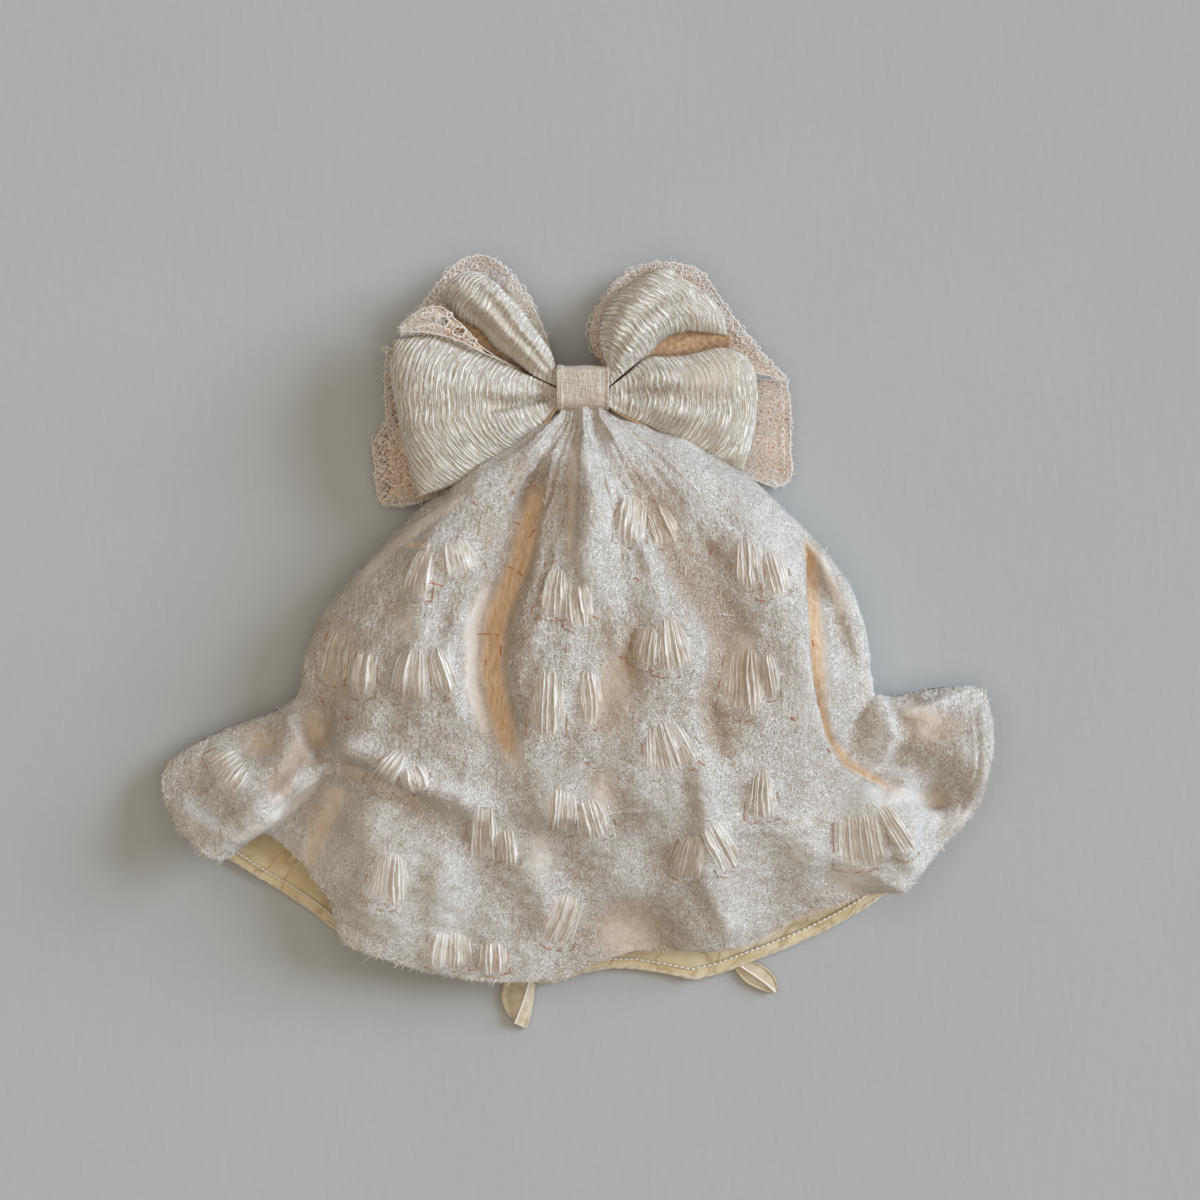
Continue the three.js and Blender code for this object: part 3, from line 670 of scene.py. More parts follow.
    def bump(self, height, depth_mm, strength=1.0):
        made = self.nodes.new("ShaderNodeBump")
        self.wire(height, made.inputs["Height"])
        made.inputs["Strength"].default_value = strength
        made.inputs["Distance"].default_value = depth_mm * MM
        self.links.new(made.outputs["Normal"], self.shader.inputs["Normal"])
        return self


def cut_cloth():
    """Ivory voile over peach, matted all over with short white threads, more in some places than others."""
    made = Finish("cut_cloth", roughness=0.8, sheen=0.1)
    # White threads lie thicker where the cloth stands up and thinner where it lies low: painted highlight and
    # shade over the folds.
    level = made.add(made.times(made.field("cover"), 0.12),
                      made.times(made.field("rise"), 0.12))
    level = made.math("SUBTRACT", level, made.times(made.field("sheer"), 0.17))
    level = made.add(level, made.times(made.noise(7, 3), 0.2))
    threads = 0.0
    for lean, length_share in ((9, 0.24), (-34, 0.3), (52, 0.34)):
        lying = made.add(made.noise(0.62, 2, stretch=(1, length_share, 1), lean=lean), level)
        threads = made.highest(threads, made.ramp(lying, 0.735, 0.83))
    gaps = made.ramp(made.cracks(0.66, stretch=(1, 0.6, 1), lean=6), 0.0, 0.13)
    gaps = made.highest(gaps, made.ramp(made.field("sheer"), 0.1, 0.7))
    threads = made.times(threads, made.add(made.times(gaps, 0.55), 0.45))
    grains = made.ramp(made.add(made.noise(2.2, 3, stretch=(1, 0.6, 1)), level), 0.5, 0.85)
    threads = made.highest(threads, made.times(made.times(gaps, grains), 0.75))
    low = made.clouds(11, linear(198, 185, 169), linear(206, 189, 174), low=0.38, high=0.62)
    low = made.blend(gaps, linear(156, 138, 118), low)
    high = made.clouds(5, linear(238, 233, 223), linear(250, 246, 239), low=0.4, high=0.6)
    ground = made.blend(threads, low, high)
    sheer = made.blend(made.field("cover"), linear(208, 197, 183), linear(242, 237, 230))
    ground = made.blend(made.times(made.ramp(made.field("sheer"), 0.15, 0.85), 0.6), ground, sheer)
    # The peach underlay in the valleys, deepened as painted warm shade; then painted shade in the low places
    # and painted highlight on the crests.
    warm = made.clouds(1, linear(216, 184, 151), linear(243, 222, 196), 4, 0.36, 0.66, (1, 0.2, 1))
    made.colour(made.raised(made.blend(made.ramp(made.field("peach_in_shade"), 0.25, 0.62), ground, warm)))
    rough = made.times(threads, made.ramp(made.field("sheer"), 1.1, 0.1))
    return made.bump(rough, 0.5, 0.9).material


def motif_cloth():
    """Satin threads laid side by side, whitened on the crests of the pleats as painted highlight, and dulled
    where the motif lies low as painted shade.
    """
    made = Finish("motif_threads", roughness=0.5, sheen=0.1)
    fine = made.noise(1, 2, place=made.strung(0.34, 6))
    lying = made.add(fine, made.times(made.field("crest"), 0.22))
    low = made.clouds(7, linear(188, 175, 159), linear(206, 196, 184))
    made.colour(made.raised(made.blend(made.ramp(lying, 0.52, 0.66), low, linear(243, 239, 231))))
    return made.bump(fine, 0.3, 0.8).material


def lining_cloth():
    made = Finish("lining", roughness=0.7, sheen=0.05)
    plain = made.clouds(9, linear(214, 194, 152), linear(234, 219, 184))
    wrinkled = made.ramp(made.cracks(14, stretch=(1, 0.4, 1), lean=35), 0.0, 0.06)
    made.colour(made.blend(wrinkled, linear(200, 176, 138), plain))
    return made.bump(made.add(made.noise(0.5, 2), made.times(wrinkled, 0.6)), 0.3, 0.7).material


def crinkle_cloth():
    """Cloth of raised white threads over a duller ground, with the threads along its ridges."""
    made = Finish("crinkle_cloth", roughness=0.85)
    level = made.math("SUBTRACT", made.times(made.field("crest"), 0.2),
                      made.times(made.field("plain"), 0.1))
    level = made.add(level, made.times(made.noise(6, 3), 0.25))
    broad = made.ramp(made.add(made.noise(1, 2, place=made.strung(0.52, 7)), level), 0.69, 0.75)
    fine = made.ramp(made.add(made.noise(1, 2, place=made.strung(0.32, 3.5)), level), 0.72, 0.78)
    threads = made.highest(broad, made.times(fine, 0.8))
    low = made.blend(made.ramp(made.noise(4, 4, 0.6), 0.35, 0.65), linear(176, 162, 141),
                     linear(206, 195, 176))
    low = made.blend(made.field("plain"), low, linear(212, 201, 183))
    made.colour(made.blend(threads, low, linear(243, 240, 231)))
    return made.bump(threads, 0.3, 0.8).material


def plain_cloth(name, dark, light, size_mm, roughness=0.8, bump_mm=0.1, stretch=(1, 1, 1)):
    made = Finish(name, roughness=roughness, sheen=0.05)
    made.colour(made.clouds(size_mm, dark, light, stretch=stretch))
    return made.bump(made.noise(0.45, 3), bump_mm, 0.5).material


def woven_band():
    made = Finish("knot_band", roughness=0.75, sheen=0.1)
    down = made.noise(0.5, 2, stretch=(1, 0.12, 1))
    across = made.noise(0.5, 2, stretch=(0.12, 1, 0.5))
    weave = made.ramp(made.add(down, made.times(across, 0.7)), 0.68, 1.02)
    low = made.clouds(4, linear(180, 164, 145), linear(196, 181, 163), 4, stretch=(1, 0.5, 1))
    made.colour(made.blend(weave, low, linear(224, 213, 198)))
    return made.bump(weave, 0.2, 0.8).material


def thread(name, shade, roughness=0.85):
    return Finish(name, roughness=roughness).colour(shade).material


CUT_CLOTH = cut_cloth()
LINING = lining_cloth()
CRINKLE = crinkle_cloth()
BAND = woven_band()
PEACH_CLOTH = plain_cloth("peach_cloth", linear(214, 180, 148), linear(230, 200, 172), 5)
# A darker copy of the loops' peach cloth: painted shade for their insides seen in the gaps between loops.
SHADED_CLOTH = plain_cloth("shaded_loop_inside", linear(188, 146, 110), linear(226, 192, 158), 1.6)
NET = plain_cloth("net_and_lace", linear(174, 130, 98), linear(254, 236, 218), 0.9, bump_mm=0.35)
LACE = thread("lace_thread", linear(244, 237, 228), 0.7)
BINDING = plain_cloth("edge_binding", linear(176, 136, 92), linear(206, 172, 128), 2.2)
PIPING = plain_cloth("piping", linear(206, 190, 162), linear(226, 212, 188), 3, 0.6)
TIE = plain_cloth("tie_ribbon", linear(196, 180, 150), linear(214, 200, 172), 3, 0.55)
MOTIF = motif_cloth()
WHITE_THREAD = thread("white_thread", linear(236, 231, 222))
IVORY_THREAD = thread("ivory_thread", linear(224, 215, 204))
BEIGE_THREAD = thread("beige_thread", linear(200, 188, 176))
PEACH_THREAD = thread("peach_thread", linear(214, 186, 160))
GOLD_THREAD = thread("gold_thread", linear(188, 158, 128))
RUST_THREAD = thread("rust_thread", linear(204, 134, 98))


# ---- The hat's cloth ----

FRONT_STEPS = 380
BACK_CROWN_ROWS = 50
LINING_CROWN_ROWS, LINING_BRIM_ROWS = 50, 30
front_turns = np.linspace(0, PI, FRONT_STEPS + 1)
front_turns = mix(front_turns, np.arccos(1 - 2 * front_turns / PI), 0.3)
crown_stages = np.linspace(0, 1, 192)
brim_stages = np.linspace(1, 2, 86)
back_turns = np.linspace(PI, 2 * PI, 61)
back_stages = np.concatenate([np.linspace(0, 1, BACK_CROWN_ROWS), np.linspace(1, 2, 22)[1:]])
front = Surface(front_turns, np.concatenate([crown_stages, brim_stages[1:]]))
back = Surface(back_turns, back_stages)
CROWN_ROWS = len(crown_stages)
LAST_ROW, LAST_BACK_ROW = len(front.stages), len(back.stages)


UNDER_KNOT = {"y": -6.0, "height": 18, "width": 0.92, "flatness": 0.75}


def tucked_in(points):
    """Rows that carry the crown's top edge on, under the knot."""
    edge = points[0]
    rows = []
    for share in (1.0, 0.75, 0.5, 0.25):
        row = edge.copy()
        above = edge[:, 2] - UNDER_KNOT["height"]
        row[:, 0] = edge[:, 0] * mix(1.0, UNDER_KNOT["width"], share)
        row[:, 1] = mix(edge[:, 1], UNDER_KNOT["y"], share)
        row[:, 2] = mix(edge[:, 2], UNDER_KNOT["height"] + above * UNDER_KNOT["flatness"], share)
        rows.append(row)
    return np.concatenate([np.stack(rows), points])


def cloth_fields(points):
    x, y = points[..., 0], points[..., 1]
    smooth, peach_in_shade = sheerness(x, y)
    return {"peach_in_shade": peach_in_shade, "sheer": smooth, "cover": cover(x, y), "rise": risen(x, y, 0.5)}


UNFOLDED = {"peach_in_shade": 0, "sheer": 0, "cover": 0.5, "rise": 0.5}  # the fields of cloth with no folds


def cloth_piece(name, points, node, plain=False, rim_rows=0):
    """A grid of the hat's outer cloth. Its last rim_rows rows are the lining, turned round the hem."""
    fields = cloth_fields(points)
    if plain:
        fields = {key: np.full(points.shape[:2], level) for key, level in UNFOLDED.items()}
    rows, columns = points.shape[:2]
    row = np.arange((rows - 1) * (columns - 1)) // (columns - 1)
    slots = (row >= rows - 1 - rim_rows).astype(int)
    stand_for(node, "cut_cloth", grid_piece(name, points, [CUT_CLOTH, LINING], face_slots=slots, **fields))


def hemmed(surface, first, turn_in=3.0, thick=1.1):
    """Brim rows down to the hem, turned in round its edge and a little way back up inside."""
    rows, normals = surface.points[first:], surface.normals[first:]
    edge, edge_normal = rows[-1], normals[-1]
    outward = unit(rows[-1] - rows[-3])
    ring = [edge + outward * thick * 0.4 - edge_normal * thick * 0.2,
            edge + outward * thick * 0.4 - edge_normal * thick * 0.8, edge - edge_normal * thick]
    last = rows.shape[0] - 1
    step = np.linalg.norm(rows[-1] - rows[-2], axis=-1).mean()
    inner = [rows[last - k] - normals[last - k] * thick for k in range(1, max(1, round(turn_in / step)) + 1)]
    return np.concatenate([rows, np.stack(ring + inner)]), len(ring) + len(inner)


cloth_piece("crown_front", tucked_in(front.points[:CROWN_ROWS]), "crown")
cloth_piece("crown_back", tucked_in(back.points[:BACK_CROWN_ROWS]), "crown", plain=True)
brim_points, rim = hemmed(front, CROWN_ROWS - 1)
cloth_piece("brim_front", brim_points, "brim", rim_rows=rim - 1)
brim_points, rim = hemmed(back, BACK_CROWN_ROWS - 1, thick=1.4)
cloth_piece("brim_back", brim_points, "brim", plain=True, rim_rows=rim)

# The lining, inside both layers.
lining_stages = np.concatenate([np.linspace(0.02, 1, LINING_CROWN_ROWS),
                                np.linspace(1, 1.985, LINING_BRIM_ROWS)[1:]])
coarse_front = Surface(np.linspace(0, PI, 121), lining_stages)


def lining_piece(name, surface, first, last, depth, node):
    points = surface.points[first:last] - surface.normals[first:last] * depth
    stand_for(node, "lining", grid_piece(name, points, LINING))


lining_piece("crown_lining_front", coarse_front, 10, LINING_CROWN_ROWS, CLOTH + 1.6, "crown")
lining_piece("crown_lining_back", back, 3, BACK_CROWN_ROWS, CLOTH, "crown")
lining_piece("brim_lining_front", coarse_front, LINING_CROWN_ROWS - 1, len(lining_stages), CLOTH + 0.6,
             "brim_lining")
lining_piece("brim_lining_back", back, BACK_CROWN_ROWS - 1, LAST_BACK_ROW, CLOTH + 0.1, "brim_lining")


def hem_line(surface, across, rows_in, depth):
    """Places along the back hem's inner face at shares across, some rows in from the edge."""
    turn = 2 * PI - np.arccos(-across)
    i = np.interp(turn, surface.turns, np.arange(len(surface.turns)))
    point, normal, _, _ = surface.at(i, np.full(len(across), surface.points.shape[0] - 1.0 - rows_in))
    return point - normal * depth


def hem_trim():
    """The cream piping round the back hem, and the row of stitches beside it."""
    across = np.linspace(-0.985, 0.985, 400)
    line = hem_line(back, across, 0.0, 0.8)
    radius = 0.85 + 0.12 * np.sin(across * 300) + 0.1 * np.sin(across * 71)
    piping = new_piece("hem_piping", *tubes(line[None], radius[None], 8), PIPING)
    dashes = []
    for start in np.arange(-0.97, 0.97, 0.0105):
        dash = hem_line(back, start + np.linspace(0, 0.0072, 5), 1.1, 2.0)
        dash[:, 2] += [0, 0.35, 0.5, 0.35, 0]
        dashes.append(dash)
    dashes = np.array(dashes)
    stitches = new_piece("hem_stitches", *tubes(dashes, np.full(dashes.shape[:2], 0.42), 5), LACE)
    stand_for("brim", "lining", piping, stitches)


hem_trim()


# ---- Cut threads on the cloth ----

def cell_areas(points):
    across = points[:-1, 1:] - points[:-1, :-1]
    down = points[1:, :-1] - points[:-1, :-1]
    return np.linalg.norm(np.cross(across, down), axis=-1)


def scatter(surface, first, last, count, seed, bare):
    """Random places over some rows of a surface, even by area, fewer where bare(x, y) is near 1."""
    random = np.random.default_rng(seed)
    areas = cell_areas(surface.points[first:last])
    chosen = random.choice(areas.size, count, p=(areas / areas.sum()).ravel())
    j, i = np.unravel_index(chosen, areas.shape)
    i = i + random.random(count)
    j = j + random.random(count) + first
    point, normal, across, down = surface.at(i, j)
    keep = random.random(count) > bare(point[:, 0], point[:, 1])
    return random, point[keep], normal[keep], unit(across[keep]), unit(down[keep])


clumps = Waves(21, 4, 11, 20)
drift = Waves(22, 14, 45)
THREAD_SHADES = [WHITE_THREAD, IVORY_THREAD, BEIGE_THREAD, PEACH_THREAD]


def bareness(x, y):
    """The share of cut threads left out at a place, on the folded front of the hat."""
    smooth, _ = sheerness(x, y)
    # Fewer threads where the cloth lies low, which darkens its hollows: painted shade.
    low = smoothstep(-swelling(x, y), -0.5, 2.5)
    return np.clip(0.15 + 0.9 * smooth + 0.3 * low + 0.7 * in_motifs(x, y, 0.85) - 0.25 * clumps(x, y)
                   - 0.4 * (cover(x, y) - 0.5), 0, 0.98)


def even_bareness(x, _):
    """The same on the plain back."""
    return np.full(np.shape(x), 0.1)


def matted(name, surface, first, last, count, seed, node, bare=bareness, longest=3.4):
    """Cut threads matted over the cloth, which drift this way and that round straight down."""
    random, point, normal, across, down = scatter(surface, first, last, count, seed, bare)
    number = len(point)
    heading = PI / 2 + 0.5 * drift(point[:, 0], point[:, 1]) + random.normal(0, 0.35, number)
    heading = np.where(random.random(number) < 0.08, random.uniform(0, 2 * PI, number), heading)
    heading = heading + np.where(random.random(number) < 0.5, PI, 0)
    along = across * np.cos(heading)[:, None] + down * np.sin(heading)[:, None]
    side = np.cross(normal, along)
    length = 0.8 + (longest - 0.8) * random.random(number) ** 1.5
    length = length * np.where(random.random(number) < 0.05, 2.5, 1)
    width = random.uniform(0.09, 0.2, number)
    bend = random.uniform(0.0, 0.06, number)
    tone = random.random(number) + 0.1 * clumps(point[:, 0], point[:, 1])
    slots = np.digitize(-tone, [-0.3, -0.06, 0.02])
    stroke = point + normal * 0.05, along, side, length, width, bend, normal
    stand_for(node, "cut_cloth", thread_piece(name, slots, *stroke))


matted("crown_threads", front, 0, CROWN_ROWS, count=15000, seed=31, node="crown")
matted("brim_threads", front, CROWN_ROWS - 1, LAST_ROW, count=13000, seed=32, node="brim")
matted("crown_back_threads", back, 0, BACK_CROWN_ROWS, count=5000, seed=33, node="crown", bare=even_bareness)
matted("brim_back_threads", back, BACK_CROWN_ROWS - 1, LAST_BACK_ROW, count=4000, seed=34, node="brim",
       bare=even_bareness)


def fringe(name, first, last, count, seed, lift):
    """Frayed threads along the front hem between two shares of the way across, most of them pointing out."""
    random = np.random.default_rng(seed)
    i = np.interp(random.uniform(first, last, count), -np.cos(front.turns), np.arange(len(front.turns)))
    j = LAST_ROW - 1.01 - random.exponential(0.8, count)
    point, normal, across, down = front.at(i, np.maximum(j, LAST_ROW - 5.0))
    heading = random.normal(PI / 2, 0.7, count)
    along = unit(across) * np.cos(heading)[:, None] + unit(down) * np.sin(heading)[:, None]
    length, width = random.uniform(0.8, 2.8, count), random.uniform(0.08, 0.17, count)
    bend = random.uniform(-0.3, lift, count)
    stroke = point + normal * 0.1, along, np.cross(normal, along), length, width, bend, normal
    stand_for("brim", "cut_cloth", thread_piece(name, random.integers(0, 3, count), *stroke))


fringe("hem_fringe", -0.97, 0.99, count=700, seed=35, lift=0.2)
fringe("hem_fray", 0.3, 0.66, count=900, seed=36, lift=0.6)


# ---- Motifs ----

def fan_plan(motif, s, t):
    """Where a fan's own place lies in plan: s from its left side, -1, to its right, 1; t down it."""
    x, y, width, height, lean, narrow = motif
    a = s * width / 2 * mix(narrow, 1.0, np.clip(t, 0, 1) ** 0.6)
    b = mix(-height / 2 * (1 - 0.1 * s ** 2), height / 2 * (1 - 0.2 * s ** 2), t)
    turned = math.radians(lean)
    return (x + a * math.cos(turned) + b * math.sin(turned),
            y + a * math.sin(turned) - b * math.cos(turned))


def motif_pleats(motif, seed):
    """Each pleat of a fan: its place across it, its half width, its height and how it bows sideways."""
    random = np.random.default_rng(seed)
    count = max(5, round(motif[2] / 1.6))
    middle = (np.arange(count) + 0.5) / count * 2 - 1 + random.normal(0, 0.25 / count, count)
    height = random.uniform(0.1, 0.5, count) + (random.random(count) < 0.4) * 0.6
    return np.stack([middle, random.uniform(0.35, 0.7, count) / count, height,
                     random.normal(0, 0.05, count)], -1)


def motif_patch(motif, seed):
    """A fan's pleated cloth on a grid, and how high each place stands, 0 to 1."""
    random = np.random.default_rng(seed)
    s, t = np.meshgrid(np.linspace(-1, 1, 57), np.linspace(0, 1, 20))
    fine = np.interp(s + 0.02 * np.sin(5 * t + seed), np.linspace(-1.1, 1.1, 46), random.random(46))
    crest = np.zeros(s.shape)
    for middle, half, height, bow in motif_pleats(motif, seed):
        away = np.abs(s - middle - bow * np.sin(PI * t) - 0.012 * np.sin(7 * t + 9 * middle)) / half
        crest = np.maximum(crest, height * np.exp(-away ** 1.3))
    crest = np.clip(crest + 0.22 * (fine - 0.4), 0, 1.1)
    ends = np.clip(np.sin(PI * np.clip(0.06 + 0.9 * t, 0, 1)), 0, 1) ** 0.5
    x, y = fan_plan(motif, s, t)
    point, normal = front.over(x, y)
    sides = 1 - np.abs(s) ** 4
    height = -0.3 + ends * sides * (0.3 + 0.85 * crest + 0.45 * np.sin(PI * t ** 0.7))
    return point + normal * height[..., None], crest * ends, risen(x, y, 0.4), s * motif[2] / 2, t * motif[3]


def motif_highlights(motif, seed):
    """Fine white threads along the crests of a fan's highest pleats, as painted highlights on the satin."""
    random = np.random.default_rng(seed)
    paths, radii = [], []
    t = np.linspace(0.04, 1, 14)
    for middle, _, height, bow in motif_pleats(motif, seed):
        if height < 0.5:
            continue
        first, last = random.uniform(0, 0.15), random.uniform(0.8, 1.04)
        own = mix(first, last, t)
        s = middle + bow * np.sin(PI * own) + random.normal(0, 0.01)
        point, normal = front.over(*fan_plan(motif, np.broadcast_to(s, own.shape), own))
        lift = -0.1 + np.sin(PI * np.clip(0.06 + 0.9 * own, 0, 1)) ** 0.5 * (0.3 + 0.85 * height
                                                                           + 0.45 * np.sin(PI * own ** 0.7))
        paths.append(point + normal * lift[:, None])
        radii.append(random.uniform(0.12, 0.27) * np.sin(PI * np.clip(0.1 + 0.85 * t, 0, 1)) ** 0.5)
    return paths, radii


def motif_outline(motif, seed):
    """Short lengths of thread in broken lines round a fan."""
    random = np.random.default_rng(seed)
    side = np.linspace(0.05, 1, 14)
    s = np.linspace(-1, 1, 30)
    loop_s = np.concatenate([np.full(14, -1.08), s * 1.08, np.full(14, 1.08)])
    scallop = 1.07 + 0.035 * np.abs(np.sin(s * PI * 2.5))
    loop_t = np.concatenate([side, scallop, side[::-1]])
    x, y = fan_plan(motif, loop_s, np.clip(loop_t, 0, 1))
    _, _, _, height, lean, _ = motif
    down = np.maximum(loop_t - 1, 0) * height
    x = x + down * math.sin(math.radians(lean)) + random.normal(0, 0.1, len(x))
    y = y - down * math.cos(math.radians(lean)) + random.normal(0, 0.1, len(x))
    point, normal = front.over(x, y)
    line = point + normal * 0.25
    return [line[k:k + 4] for k in range(0, len(line) - 4, 3) if random.random() < 0.36]


def joined(parts):
    """Points and faces of several meshes as one."""
    points, faces, start = [], [], 0
    for part_points, part_faces in parts:
        points.append(part_points.reshape(-1, 3))
        faces.append(part_faces + start)
        start += len(points[-1])
    return np.concatenate(points), np.concatenate(faces)


def motifs(name, listed, node):
    patches, fields, paths, radii, dashes = [], [], [], [], []
    for number, motif in enumerate(listed):
        points, *own = motif_patch(motif, 400 + number)
        patches.append((points, grid_faces(*points.shape[:2])))
        fields.append(np.array(own).reshape(4, -1))
        more_paths, more_radii = motif_highlights(motif, 400 + number)
        paths += more_paths
        radii += more_radii
        dashes += motif_outline(motif, 500 + number)
    uv = np.concatenate([grid_uv(*points.shape[:2]).reshape(-1, 2) for points, _ in patches])
    fields = dict(zip(("crest", "rise", "run", "along"), np.concatenate(fields, axis=1)))
    made = [new_piece(f"{name}_pleats", *joined(patches), MOTIF, uv=uv, **fields),
            new_piece(f"{name}_highlights", *tubes(np.array(paths), np.array(radii), 5, 0.7), WHITE_THREAD)]
    rusty = (np.random.default_rng(len(dashes)).random(len(dashes)) < 0.3).astype(int)
    points, faces = tubes(np.array(dashes), np.full((len(dashes), 4), 0.17), 4)
    made.append(new_piece(f"{name}_outlines", points, faces, [GOLD_THREAD, RUST_THREAD],
                          face_slots=np.repeat(rusty, len(faces) // len(dashes))))
    stand_for(node, "cut_cloth", *made)


# Small marks of rust embroidery: middle, lean from straight down in degrees, and length in mm.
MARKS = [
    (-25.4, -39.8, 20, 1.4), (-18.2, -37.2, 50, 3.0), (-24.9, -51, 70, 2.6), (-19, -55, -30, 4.0),
    (-23, -70, 30, 2.4), (-26.8, -67.7, 60, 2.0), (-13.7, -66.8, -20, 1.6), (-10.9, -66.3, -30, 2.2),
    (-18.3, -83.5, -15, 2.6), (-16.5, -86, -40, 2.4), (4.9, -86.3, 60, 2.4), (-37, -92.4, 86, 4.4),
    (-31.9, -92.8, 80, 1.8), (-30.6, -98.5, -6, 3.4), (-36, -103, 10, 2.0), (-54, -74, 84, 6.0),
    (14.6, -101, 80, 2.6),
    (27, -43, 30, 2.0), (48, -62, -35, 2.6), (66, -80, 70, 3.0), (86, -96, 10, 2.4), (88, -118, 5, 2.6),
    (78, -124, 60, 2.0), (-98, -118, 30, 2.2), (-88, -124, 70, 2.4), (-40, -44, 40, 1.8), (2, -140, 80, 2.2),
    (44, -140, 70, 3.0), (-64, -130, 60, 2.0), (20, -72, 30, 1.6), (-6, -98, 20, 1.8), (92, -136, 30, 2.0),
]


def marks():
    random = np.random.default_rng(600)
    lines = []
    for x, y, lean, length in MARKS:
        for _ in range(2):
            along = np.linspace(-0.5, 0.5, 5) * length
            turned = math.radians(lean) + random.normal(0, 0.15)
            wander = random.normal(0, 0.16, (2, 5))
            point, normal = front.over(x + along * math.sin(turned) + wander[0],
                                       y - along * math.cos(turned) + wander[1])
            lines.append(point + normal * 0.12)
    made = new_piece("crown_marks", *tubes(np.array(lines), np.full((len(lines), 5), 0.17), 4), RUST_THREAD)
    stand_for("crown", "cut_cloth", made)


marks()
motifs("crown_motif", [m for m in MOTIFS if math.hypot(m[0], m[1]) < HEADLINE_RADIUS], "crown")
motifs("brim_motif", [m for m in MOTIFS if math.hypot(m[0], m[1]) >= HEADLINE_RADIUS], "brim")


# ---- The bow ----

KNOT_WIDTH, KNOT_DEPTH, KNOT_BOTTOM, KNOT_TOP = 19.8, 17.2, 8.5, 29
NECK = {"x": 3.2, "half": 5.6, "split": 0.5, "share": 0.1, "middle": 20.3, "thick": 4.6, "net": 12.1}

# Each loop's two sides, from the knot's mouth out to its corners, and the end between them; then the
# heights of its middle and of its end, and half its thickness.
LOOPS = {
    "upper_left": dict(
        way=-1, middle=20.5, end_height=20, belly=10,
        first=[(-10, 6.5), (-11.6, 12.5), (-17, 21), (-24.5, 31), (-32, 39)],
        end=[(-32, 39), (-38, 43), (-45, 43.5), (-50.5, 40), (-52, 34)],
        last=[(-10, 0.5), (-17.4, 4), (-26.4, 10.6), (-32, 14.2), (-39, 22), (-47, 27), (-52, 34)]),
    "lower_left": dict(
        way=-1, middle=20, end_height=23.5, belly=11.5,
        first=[(-10, -0.2), (-20, 4.5), (-33, 11), (-46, 17), (-58, 19.8), (-71, 18)],
        end=[(-71, 18), (-72.2, 8), (-70.4, -5), (-67.5, -19), (-64.5, -33), (-61.5, -41)],
        last=[(-9.5, -7), (-13.5, -12), (-21, -18.8), (-32, -27.5), (-48, -36.5), (-61.5, -41)]),
    "upper_right": dict(
        way=1, middle=21, end_height=18, belly=10.5,
        first=[(10, 6.5), (7.6, 12), (6.4, 21), (9.5, 30.5), (16.5, 39), (24, 44.5)],
        end=[(24, 44.5), (31, 45.5), (38, 41.5), (45, 37), (50, 32.5), (53.5, 26), (54.5, 20)],
        last=[(10, 0.5), (15, 5), (24.5, 13), (29.5, 17.7), (34.6, 20.5), (39.7, 21.4), (46, 20.9),
              (54.5, 20)]),
    "lower_right": dict(
        way=1, middle=18, end_height=16, belly=9,
        first=[(10, -0.2), (17, 5.4), (24.5, 11.6), (33.4, 12), (39.7, 12.8), (46, 14.5), (53, 15.6),
               (62, 12.6)],
        end=[(62, 12.6), (65.4, 5), (65.6, -7), (63.7, -20), (60.4, -31)],
        last=[(9.5, -7), (14, -9.6), (24, -14), (38, -20.7), (51, -27), (60.4, -31)]),
}
